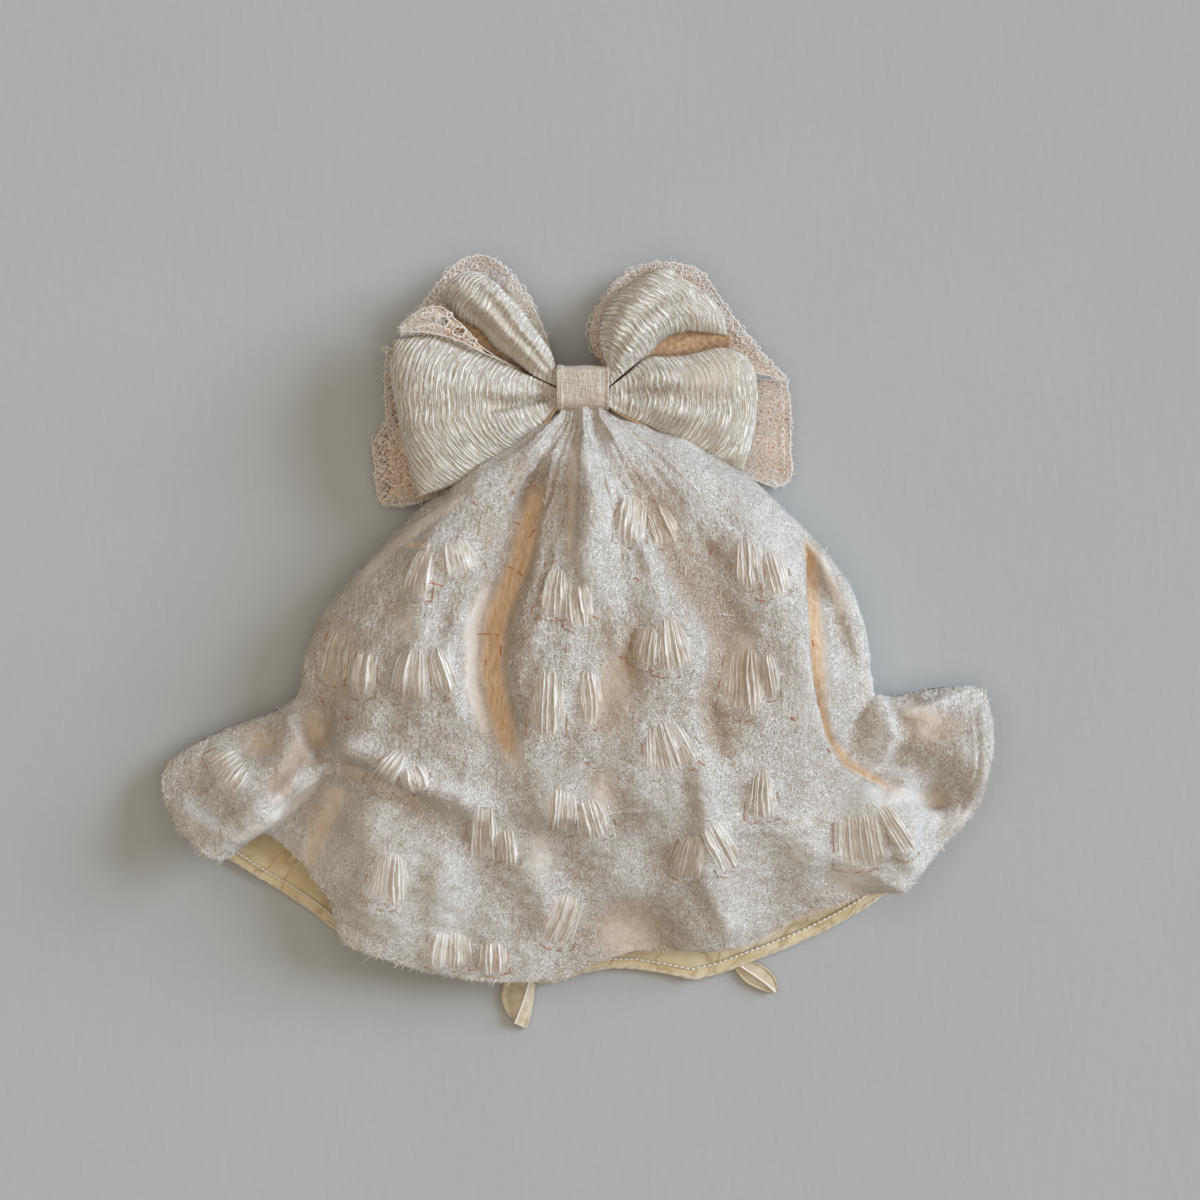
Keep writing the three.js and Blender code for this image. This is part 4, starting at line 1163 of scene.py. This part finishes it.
# The nets under the loops in the same way, with the height of the far end.
NETS = {
    "upper_left": dict(
        way=-1, rest=7, lacy=0.8, span=60, breadth=60, rings=[(0.6, 1.2), (3.2, 1.5), (6.4, 1.3), (9.2, 1.0)],
        first=[(-11, 5.6), (-12, 14), (-15.5, 24), (-20, 34)],
        end=[(-20, 34), (-29, 46), (-37.5, 51.5), (-46, 50), (-55, 41), (-67, 25.5)],
        last=[(-11, 0.5), (-30, 10), (-50, 18), (-67, 25.5)]),
    "lower_left": dict(
        way=-1, rest=3, lacy=0.94, span=75, breadth=60, rings=[(0.6, 1.1), (3.0, 1.4), (6.0, 1.6)],
        first=[(-11, -0.5), (-40, 10), (-60, 16), (-75.5, 17)],
        end=[(-75.5, 17), (-76, 0), (-76, -13), (-79.5, -18), (-79.5, -31), (-77.5, -42), (-64, -43)],
        last=[(-11, -6), (-15, -13.2), (-22, -20.2), (-33, -29), (-49, -38), (-64, -43.5)]),
    "upper_right": dict(
        way=1, rest=7, lacy=0.95, span=70, breadth=40, frill=True, threads=3600,
        rings=[(0.6, 1.2), (2.0, 1.5), (3.6, 1.3)],
        first=[(11, 5.6), (4.5, 14), (2.8, 23), (6, 32), (13, 41)],
        end=[(13, 41), (20, 46.5), (31, 48.8), (43, 46.5), (55, 31), (66, 17), (78, 4)],
        last=[(11, 0.5), (35, 7), (57, 8), (78, 4)]),
    "lower_right": dict(
        way=1, rest=3, lacy=0.985, span=75, breadth=50, threads=5200, rings=[(0.5, 0.8), (3.0, 0.7)],
        first=[(11, -0.5), (35, 4), (60, 5), (78, 4)],
        end=[(78, 4), (79.5, -8), (79.3, -20), (78, -35), (72.5, -36.5)],
        last=[(11, -6), (15, -10.3), (24.5, -15), (38.5, -22), (52, -28.6), (72.5, -36.5)]),
    # A flap of lace folded forward between the left loops.
    "flap": dict(
        way=-1, rest=27.5, upper=True, node="upper_left", lacy=1.1, span=60, breadth=9, threads=900,
        start=0.52,
        rings=[(0.6, 1.1), (2.4, 1.3), (4.6, 1.5), (7.4, 1.6), (10, 1.6), (12.6, 1.5), (15.4, 1.4), (18, 1.2),
               (21, 1.1), (24, 1.0)],
        holes=[(-52.6, 24.4, 2.3, 1.9), (-46.2, 20.6, 2.3, 1.7), (-41.2, 17.2, 1.4, 0.9),
               (-58.6, 26.8, 1.6, 1.1),
               (-56.4, 22.6, 0.9, 0.7), (-49.8, 27.0, 1.0, 0.8)],
        first=[(-10, 0.5), (-24, 7.5), (-33, 11.8), (-39, 16), (-43, 21), (-48, 25.5), (-52, 29.3), (-57, 30),
               (-63, 27.3), (-68, 22)],
        end=[(-68, 22), (-67.8, 21), (-67, 20.5)],
        last=[(-10, 0), (-24, 6.8), (-33, 11), (-39, 13.6), (-45, 16.6), (-52, 19), (-60, 20.4),
              (-67, 20.5)]),
}


def patch_point(patch, upper, share, reach):
    """A place in plan between a patch's two sides, its mouth and its end, and how far out it is."""
    out = np.clip((reach - NECK["share"]) / (1 - NECK["share"]), 0, 1)
    first, last = curve(patch["first"], out), curve(patch["last"], out)
    corner_a, corner_b = np.array(patch["first"][-1]), np.array(patch["last"][-1])
    s = share[..., None]
    end = curve(patch["end"], share) - mix(corner_a, corner_b, s)
    beyond = mix(first, last, s) + out[..., None] ** 1.6 * end
    neck_y = mix(NECK["half"], NECK["split"], share) if upper else mix(-NECK["split"], -NECK["half"], share)
    root = np.stack([np.full(np.shape(neck_y), patch["way"] * NECK["x"]), neck_y], -1)
    mouth = mix(np.array(patch["first"][0]), np.array(patch["last"][0]), s)
    inside = mix(root, mouth, np.clip(reach / NECK["share"], 0, 1)[..., None])
    return np.where((reach <= NECK["share"])[..., None], inside, beyond), out


def loop_point(loop, upper, share, way):
    reach = np.where(way <= 1, way, 2 - way)
    plan, out = patch_point(loop, upper, share, reach)
    lengthwise = smoothstep(out, 0, 0.45)
    edge_roll = 1 - 0.8 * np.abs(2 * share - 1) ** 4
    half = mix(NECK["thick"], loop["belly"] * edge_roll, lengthwise) * np.sqrt(np.maximum(0, 1 - reach ** 9))
    pleat = 0.9 * np.cos(6 * PI * share) * np.sin(PI * out)
    lifted = mix(NECK["middle"], loop["middle"], smoothstep(out, 0, 0.45))
    middle = mix(lifted, loop["end_height"], smoothstep(out, 0.4, 1))
    return np.concatenate([plan, (middle + np.where(way <= 1, half, -half) + pleat)[..., None]], -1)


ridge_bend = Waves(41, 14, 34)
ridge_break = Waves(42, 4, 9, 24)
ridge_size = Waves(44, 5, 14, 24)
RIDGE = 2.1  # from one ridge of the crinkled cloth to the next
RIDGE_HEIGHT = 0.27
LOOP_HEM = 1.1  # how far a loop's side edges turn under
LOOP_THICKNESS = 1.3
UNDERSIDE_SHIFT = 70  # so that a loop's underside doesn't repeat the pattern of its top

# Pleats pressed into the loops: a path over the plan, the widths of its flanks, and its height.
LOOP_CREASES = {
    "upper_left": [([(-14, 7), (-27, 20), (-40, 34)], 4, 4, 1.4), ([(-24, 14), (-38, 24), (-48, 36)], 2, 2,
                                                                   -1.2)],
    "lower_left": [([(-12, -4), (-22, -6), (-32, -8.5), (-42, -9.5)], 1.2, 4.5, -4.2),
                   ([(-13, -2), (-24, -3.5), (-38, -5)], 3, 3, 1.6), ([(-14, -9), (-24, -16), (-36, -23)],
                                                                      3, 3, 1.0)],
    "upper_right": [([(12, 6), (18, 20), (26, 34)], 4, 4, 1.4), ([(14, 7), (28, 18), (44, 27)], 3, 3, -1.2)],
    "lower_right": [([(15, -2), (28, -1.5), (38, -0.5)], 1.5, 4, -2.6), ([(16, -7), (30, -11), (44, -14)],
                                                                         3, 3, 1.2),
                    ([(22, 4), (40, 6.5), (56, 8)], 3, 3, 1.0)],
}


def ridge_threads(random, points, normal, phase, plain):
    """Broken threads that run along crinkled cloth, most of them on its crests, where its phase is whole."""
    rows, columns = phase.shape
    phase = np.maximum.accumulate(phase, axis=0) + np.arange(rows)[:, None] * 1e-6
    paths, radii = [], []
    for crest in np.arange(math.ceil(phase.min()), phase.max()):
        for on_crest in (True, True, True, False, False, False):
            first = random.integers(1, 8)
            while first < columns - 5:
                last = min(columns - 2, first + random.integers(6, 32))
                i = np.linspace(first, last, 7)
                near = np.round(i).astype(int)
                offset = random.normal(0, 0.08) if on_crest else random.uniform(0.1, 0.9)
                wanted = crest + offset + random.normal(0, 0.14) * np.linspace(-1, 1, 7)
                inside = (phase[0, near] < wanted) & (phase[-1, near] > wanted)
                if inside.all() and random.random() < 0.7:
                    j = np.array([np.interp(place, phase[:, k], np.arange(rows)) for place,
                                  k in zip(wanted, near)])
                    j0 = np.clip(j.astype(int), 0, rows - 2)
                    if random.random() > plain[j0, near].mean():
                        path = mix(points[j0, near], points[j0 + 1, near], (j - j0)[:, None])
                        paths.append(path + 0.14 * normal[j0, near])
                        radii.append(random.uniform(0.1, 0.22) * np.sin(PI * np.linspace(0.06, 0.94,
                                                                                         7)) ** 0.4)
                first = last + random.integers(1, 6)
    return tubes(np.array(paths), np.array(radii), 3, 0.8)


# Where the ridges of a loop fade out: middle, half width and half height in mm, and how far.
PLAIN = {
    "upper_left": [(-29, 16, 10, 8, 0.55), (-36, 24, 7, 6, 0.5), (-20, 9, 6, 5, 0.3)],
    "lower_left": [(-34, -8, 7, 3, 0.5), (-64, -34, 8, 8, 0.3)],
    "upper_right": [(46, 23, 8, 4, 0.4)],
    "lower_right": [(52, 6, 10, 8, 0.6), (44, 3, 8, 5, 0.4), (30, -4, 8, 3, 0.3)],
}
# How far the ridges bow outward in the middle of each loop, in mm.
BOWED = {"upper_left": 8, "lower_left": 34, "upper_right": 12, "lower_right": 18}


def bow_loop(name, loop):
    upper = name.startswith("upper")
    share = np.linspace(0, 1, 80)
    # Out over the loop's top from 0 to 1, with finer steps round its end, and back beneath it to 2.
    ways = np.concatenate([np.linspace(0.02, 0.9, 185), 1 - 0.1 * (1 - np.linspace(0, 1, 34)[1:]) ** 2,
                           1 + 0.12 * np.linspace(0, 1, 26)[1:] ** 2, np.linspace(1.12, 1.98, 40)[1:]])
    s, way = np.meshgrid(share, ways)
    points = loop_point(loop, upper, s, way)
    x, y = points[..., 0], points[..., 1]
    for path, left, right, height in LOOP_CREASES[name]:
        away, side, along = beside_path(x, y, path)
        ends = smoothstep(along, -0.05, 0.1) * smoothstep(1 - along, 0, 0.5)
        points[..., 2] += np.where(way <= 1, 1, 0) * height * ends * np.exp(
            -(away / np.where(side > 0, left, right)) ** 2)
    across, along = np.gradient(points, axis=1), np.gradient(points, axis=0)
    normal = unit(np.cross(along, across)) * -loop["way"]
    length = np.concatenate([np.zeros((1, len(share))),
                             np.cumsum(np.linalg.norm(np.diff(points, axis=0), axis=-1), axis=0)])
    y = y + np.where(way > 1, UNDERSIDE_SHIFT, 0)
    run = length + BOWED[name] * (s - 0.45) ** 2 * smoothstep(length, 4, 40)
    phase = run / RIDGE + 0.1 * ridge_bend(x, y) + 0.05 * ridge_break(x, y)
    plain = np.clip(sum(much * hollow_at(x, y, *where) for *where, much in PLAIN[name]), 0, 1)
    wave = 0.5 + 0.5 * np.cos(2 * PI * phase)
    finer = 0.5 + 0.5 * np.cos(4 * PI * phase + 3 * ridge_size(y, x))
    size = np.clip(0.6 + 0.45 * ridge_size(x, y), 0.1, 1.2)
    size = size * np.clip(0.75 + 0.4 * ridge_break(y, x), 0.2, 1.2)
    ridge = (wave ** 2 * size + 0.4 * finer ** 2 * (1.1 - size)) * (1 - 0.85 * plain)
    fade = smoothstep(length, 3, 9) * (1 - smoothstep(way, 1.5, 1.8))
    points = points + normal * (RIDGE_HEIGHT * ridge * fade)[..., None]
    under = points - normal * LOOP_HEM
    edged = np.concatenate([under[:, :1], points, under[:, -1:]], 1)
    crest = np.clip(ridge * 1.1, 0, 1)
    beside = np.cumsum(np.linalg.norm(np.diff(points, axis=1, prepend=points[:, :1]), axis=-1), axis=1)
    fields = {"crest": crest, "run": phase * RIDGE, "along": beside, "plain": plain}
    fields = {key: np.concatenate([field[:, :1], field, field[:, -1:]], 1) for key, field in fields.items()}
    piece = grid_piece(f"bow_loop_{name}_cloth", edged, CRINKLE, **fields)
    inner = (points - normal * LOOP_THICKNESS)[::3]
    inner = inner[:, np.unique(np.linspace(0, len(share) - 1, 31).astype(int))]
    lined = grid_piece(f"bow_loop_{name}_inside", inner, PEACH_CLOTH)
    random = np.random.default_rng(len(name) + 70)
    outer = slice(10, 218)  # the rows over the loop's top
    made = ridge_threads(random, points[outer], normal[outer], phase[outer], plain[outer])
    threads = new_piece(f"bow_loop_{name}_threads", *made, WHITE_THREAD)
    stand_for(f"bow_loop_{name}", "crinkle_cloth", piece, lined, threads)


def binding(name, first, last, radius):
    """The narrow binding along a loop's lower edge, between two shares of its length."""
    reach = np.linspace(first, last, 60)
    line = loop_point(LOOPS[name], name.startswith("upper"), np.full(60, 1.0), reach) + [0, -0.5, 0.7]
    thickness = radius * np.sin(PI * np.linspace(0.04, 0.96, 60)) ** 0.3
    piece = new_piece(f"bow_loop_{name}_binding", *tubes(line[None], thickness[None], 8, 1.6), BINDING)
    stand_for(f"bow_loop_{name}", "crinkle_cloth", piece)


for name, loop in LOOPS.items():
    bow_loop(name, loop)
binding("lower_left", 0.1, 0.5, 0.55)
binding("lower_right", 0.12, 0.4, 0.35)


def net_point(net, upper, share, reach):
    plan, _ = patch_point(net, upper, share, reach)
    wave = 0.6 * np.sin(5 * PI * share + 4 * reach) * smoothstep(reach, 0.4, 1)
    height = mix(NECK["net"], net["rest"], smoothstep(reach, 0.08, 0.55)) + wave + 1.0
    return np.concatenate([plan, height[..., None]], -1)


NEARLY_FLAT = np.array([1, 1, 0.3])  # lace strays less in height than over the plan


def lace_rings(random, place, rows, sizes):
    """Rings of thread in rows beside an edge: place(share, row) gives points along it, row in mm."""
    turn = np.linspace(0, 2 * PI, 11)
    rings, radii = [], []
    for row, size in zip(rows, sizes):
        line = place(np.linspace(0, 1, 80), row)
        lengths = np.concatenate([[0], np.cumsum(np.linalg.norm(np.diff(line, axis=0), axis=-1))])
        count = round(lengths[-1] / (size * 2.1))
        at = np.interp((np.arange(count) + 0.5) / count * lengths[-1], lengths, np.linspace(0, 1, 80))
        for middle in place(at, row):
            own = size * random.uniform(0.5, 1.35)
            squash, lean = random.uniform(0.55, 1.3), random.uniform(0, PI)
            across, along = own * np.cos(turn), own * squash * np.sin(turn)
            ring = np.stack([across * math.cos(lean) - along * math.sin(lean),
                             across * math.sin(lean) + along * math.cos(lean), np.full(11, 0.3)], -1)
            shift = random.normal(0, 0.3, 3) * NEARLY_FLAT
            wobble = random.normal(0, 0.09, (11, 3)) * NEARLY_FLAT
            rings.append(middle + ring + shift + wobble)
            radii.append(np.full(11, random.uniform(0.14, 0.27)))
    return tubes(np.array(rings), np.array(radii), 3)


def bow_net(name, net):
    upper = net.get("upper", name.startswith("upper"))
    share = np.linspace(0, 1, 110)
    reach = np.concatenate([np.linspace(0, 0.5, 24), np.linspace(0.5, 1, 60)[1:]])
    reach = mix(net.get("start", 0), 1, reach)
    s, r = np.meshgrid(share, reach)
    points = net_point(net, upper, s, r)
    faces = grid_faces(*points.shape[:2])
    columns = len(share) - 1
    i, j = np.arange(len(faces)) % columns, np.arange(len(faces)) // columns
    random = np.random.default_rng(len(name) + 80)
    near_edge = r.ravel()[faces[:, 0]] > net["lacy"]
    open_cell = near_edge & ((i // 2 + j // 2) % 2 == 0) & (random.random(len(faces)) < 0.8)
    middle = points.reshape(-1, 3)[faces].mean(1)
    for hole_x, hole_y, wide, high in net.get("holes", []):
        open_cell |= ((middle[:, 0] - hole_x) / wide) ** 2 + ((middle[:, 1] - hole_y) / high) ** 2 < 1
    piece = new_piece(f"bow_net_{name}_cloth", points, faces[~open_cell], NET, uv=grid_uv(*points.shape[:2]))

    def beside_end(at, row):
        return net_point(net, upper, at, np.full(np.shape(at), 1 - row / net["span"]))

    def beside_first(at, row):
        out = mix(0.35, 1.0, at)
        return net_point(net, upper, np.full(np.shape(at), row / net["breadth"]), out)

    parts = [lace_rings(random, beside_end, *zip(*net["rings"]))]
    if net.get("frill"):
        parts.append(lace_rings(random, beside_first, (0.3, 2.6), (1.5, 1.2)))
    turn = np.linspace(0, 2 * PI, 17)
    for hole_x, hole_y, wide, high in net.get("holes", []):
        ring = np.stack([hole_x + 1.08 * wide * np.cos(turn), hole_y + 1.08 * high * np.sin(turn),
                         np.full(17, net["rest"] + 1.4)], -1)
        rings = ring + random.normal(0, 0.14, (3, 17, 3)) * [1, 1, 0.5]
        parts.append(tubes(rings, np.full((3, 17), 0.2), 4))
    edge = net_point(net, upper, *np.meshgrid(np.linspace(0, 1, 160), [0.998]))
    sides = [net_point(net, upper, np.full(160, side), np.linspace(0.3, 0.998,
                                                                   160))[None] for side in (0.004, 0.996)]
    cords = np.concatenate([edge] + sides) + [0, 0, 0.25] + random.normal(0, 0.06, (3, 160, 3))
    parts.append(tubes(cords, np.full((3, 160), 0.22), 4))
    lace = new_piece(f"bow_lace_{name}", *joined(parts), LACE)
    count = net.get("threads", 2400)
    i0, j0 = random.integers(1, len(share) - 1, count), random.integers(26, len(reach), count)
    heading = random.uniform(0, 2 * PI, count)
    toward = np.stack([np.cos(heading), np.sin(heading), np.zeros(count)], -1)
    up = np.broadcast_to([0.0, 0.0, 1.0], toward.shape)
    length, width = random.uniform(0.8, 3.0, count), random.uniform(0.1, 0.22, count)
    stroke = (points[j0, i0] + [0, 0, 0.15], toward, np.cross(up, toward), length, width,
              random.uniform(0, 0.3, count), up)
    slots = np.digitize(random.random(count), [0.45, 0.8, 0.9])
    threads = thread_piece(f"bow_net_{name}_threads", slots, *stroke)
    stand_for(f"bow_net_{net.get('node', name)}", "net_and_lace", piece, lace, threads)


for name, net in NETS.items():
    bow_net(name, net)


def shaded_loop_inside(name, way, height, first, end, last):
    """The peach inside of a loop, seen in the gap between it and the loop below, in darker peach as painted
    shade.
    """
    patch = dict(way=way, first=first, end=end, last=last)
    s, r = np.meshgrid(np.linspace(-0.15, 1.15, 24), np.linspace(0.12, 1, 50))
    plan, out = patch_point(patch, True, s, r)
    points = np.concatenate([plan, (height - 3.5 * s * s + 0.5 * np.sin(9 * out + 3 * s))[..., None]], -1)
    piece = grid_piece(f"bow_loop_{name}_gap", points, SHADED_CLOTH)
    stand_for(f"bow_loop_{name}", "crinkle_cloth", piece)


shaded_loop_inside("upper_right", 1, 18, LOOPS["upper_right"]["last"], [(54.5, 20), (56, 18), (55, 15.8)],
            [(10, -0.2), (17, 5.4), (24.5, 11.6), (33.4, 12), (39.7, 12.8), (46, 14.5), (55, 15.8)])
shaded_loop_inside("upper_left", -1, 19, [(-10, 0.5), (-17.4, 4), (-26.4, 10.6), (-32, 14.2), (-39, 22), (-47, 27)],
            [(-47, 27), (-50, 25), (-52, 19)], [(-10, -0.2), (-20, 4.5), (-33, 11), (-46, 17), (-52, 19)])


def bow_knot():
    turns = np.linspace(0, 2 * PI, 97)
    across = np.linspace(-1, 1, 49)
    a, turn = np.meshgrid(across, turns)

    def rounded(value):
        return np.sign(value) * np.abs(value) ** 0.55

    pleat = 0.12 * np.sin(a * 5 + 1.6 * np.sin(turn * 2)) * (1 - a ** 4)
    fold = 0.45 * smoothstep(-a, 0.72, 0.8) + 0.3 * smoothstep(a, 0.86, 0.92)
    height = KNOT_TOP - KNOT_BOTTOM
    stretch = 1 + (pleat + fold - 0.3 * a * a) / 9
    points = np.stack([
        a * KNOT_WIDTH / 2,
        rounded(np.cos(turn)) * KNOT_DEPTH / 2 * stretch,
        (KNOT_TOP + KNOT_BOTTOM) / 2 + rounded(np.sin(turn)) * (height / 2 - 0.3) * stretch], -1)
    centre = np.array([0, 0, (KNOT_TOP + KNOT_BOTTOM) / 2])

    def inwards(ring, share, x_share):
        return centre + (ring - centre) * [x_share, share, share]

    points = np.concatenate([inwards(points[:, :1], 0.8, 0.9), inwards(points[:, :1], 0.88, 0.98), points,
                             inwards(points[:, -1:], 0.88, 0.98), inwards(points[:, -1:], 0.8, 0.9)], axis=1)
    stand_for("bow_knot", "knot_band", grid_piece("bow_knot_band", points, BAND))


bow_knot()


# ---- Ties ----

# Each tie's two edges and the folded crease between them, from its hidden root to its tip.
TIES = {
    "tie_left": dict(
        left=[(-25.5, -180), (-25.5, -205), (-30.4, -226), (-31.6, -232.5), (-29.5, -238), (-26.4, -241.8)],
        fold=[(-21, -180), (-21, -205), (-20.9, -226.5), (-22.6, -232.5), (-24.6, -238), (-26.2, -242)],
        right=[(-16.5, -180), (-16.5, -205), (-18.4, -226.5), (-18.8, -232.5), (-20.0, -238.6),
               (-21.6, -244.4)],
        crest=3.4),
    "tie_right": dict(
        left=[(36, -182), (46, -206), (57.8, -221), (62, -226.2), (67.5, -229.2), (72.6, -230.8)],
        fold=[(40, -180), (50, -203), (59.8, -219.6), (65.2, -223.4), (70.2, -227), (73.7, -230.2)],
        right=[(44, -178), (54, -200), (62, -217.8), (68.5, -219.8), (73.6, -224.6), (74.8, -229.6)],
        crest=1.0),
}


def tie_piece(name, left, fold, right, crest):
    share, out = np.meshgrid(np.linspace(0, 1, 25), np.linspace(0, 1, 64))
    near = mix(curve(left, out), curve(fold, out), np.clip(2 * share, 0, 1)[..., None])
    plan = np.where((share > 0.5)[..., None],
                    mix(curve(fold, out), curve(right, out), np.clip(2 * share - 1, 0, 1)[..., None]), near)
    shown = smoothstep(out, 0.62, 0.8)
    raised = crest * (1 - np.abs(2 * share - 1) ** 1.2) * shown * mix(1, 0.5, smoothstep(out, 0.85, 1))
    edge = 0.5 * np.exp(-((np.abs(2 * share - 1) - 0.93) / 0.07) ** 2) * shown
    stitch = 0.25 * np.exp(-((np.abs(2 * share - 1) - 0.72) / 0.06) ** 2) * (0.5 + 0.5 * np.cos(out * 330))
    points = np.concatenate([plan, (1.2 + raised + edge - stitch)[..., None]], -1)
    under = points[:, ::-1] - [0, 0, 0.9]
    points = np.concatenate([points, under, points[:, :1]], axis=1)
    ribbon = grid_piece(f"{name}_ribbon", points, TIE)
    # A pale cord along the crease: painted highlight on the ribbon's fold.
    line = curve(fold, np.linspace(0.7, 1, 20))
    line = np.concatenate([line, np.interp(np.linspace(0.7, 1, 20), [0.7, 0.8, 0.9, 1], [1.6 + crest] * 2
                                           + [1.6 + 0.8 * crest, 1.5 + 0.5 * crest])[:, None]], 1)
    made = new_piece(f"{name}_fold", *tubes(line[None], np.full((1, 20), 0.4), 6, 0.7), LACE)
    stand_for(name, "tie_ribbon", ribbon, made)


for name, facts in TIES.items():
    tie_piece(name, **facts)


# ---- Floor, lights and camera ----

FLOOR_REACH, FLOOR_LEVEL = 4, -0.0004  # in metres, with the level just under the cloth


def floor():
    made = Finish("floor", roughness=0.9)
    made.colour(made.clouds(160, linear(181, 183, 182), linear(184, 186, 185), low=0.3, high=0.7))
    strokes_across = made.noise(3, 4, 0.6, stretch=(0.25, 1, 1))
    strokes_down = made.noise(3, 4, 0.6, stretch=(1, 0.25, 1))
    made.bump(made.add(strokes_across, strokes_down), 0.35, 0.3)
    mesh = bpy.data.meshes.new("floor")
    sides = ((-1, -1), (1, -1), (1, 1), (-1, 1))
    corners = [(x * FLOOR_REACH, y * FLOOR_REACH, FLOOR_LEVEL) for x, y in sides]
    mesh.from_pydata(corners, [], [(0, 1, 2, 3)])
    mesh.materials.append(made.material)
    ground = bpy.data.objects.new("floor", mesh)
    bpy.context.scene.collection.objects.link(ground)


floor()


def sunlight(name, energy, colour, wide, from_right, from_top):
    """A light so far off that its rays are parallel, wide degrees across, tipped off straight down."""
    data = bpy.data.lights.new(name, "SUN")
    data.energy, data.color, data.angle = energy, colour, math.radians(wide)
    made = bpy.data.objects.new(name, data)
    made.rotation_euler = (math.radians(-from_top), math.radians(from_right), 0)
    bpy.context.scene.collection.objects.link(made)


# A cool window low on the right, a warm ceiling above and a faint warm surround.
sunlight("window", 3.3, (0.69, 0.82, 1.0), 34, 64.5, 17)
sunlight("ceiling", 1.1, (1.0, 0.89, 0.77), 80, 0, 0)
world = bpy.data.worlds.new("studio")
world.use_nodes = True
world.node_tree.nodes["Background"].inputs["Color"].default_value = (1.0, 0.91, 0.78, 1)
world.node_tree.nodes["Background"].inputs["Strength"].default_value = 0.22
bpy.context.scene.world = world
bpy.context.scene.view_settings.view_transform = "Standard"

CAMERA_HEIGHT = 1.1
FRAME_WIDTH = 0.456
SENSOR_WIDTH = 36
BELOW_CAMERA = np.array([6.46, -79.8, 12.0]) * MM  # from the knot's centre on the floor
camera_data = bpy.data.cameras.new("camera")
camera_data.sensor_width = SENSOR_WIDTH
camera_data.lens = SENSOR_WIDTH * CAMERA_HEIGHT / FRAME_WIDTH
camera = bpy.data.objects.new("camera", camera_data)
camera.location = CENTRE + BELOW_CAMERA + [0, 0, CAMERA_HEIGHT]
bpy.context.scene.collection.objects.link(camera)
bpy.context.scene.camera = camera
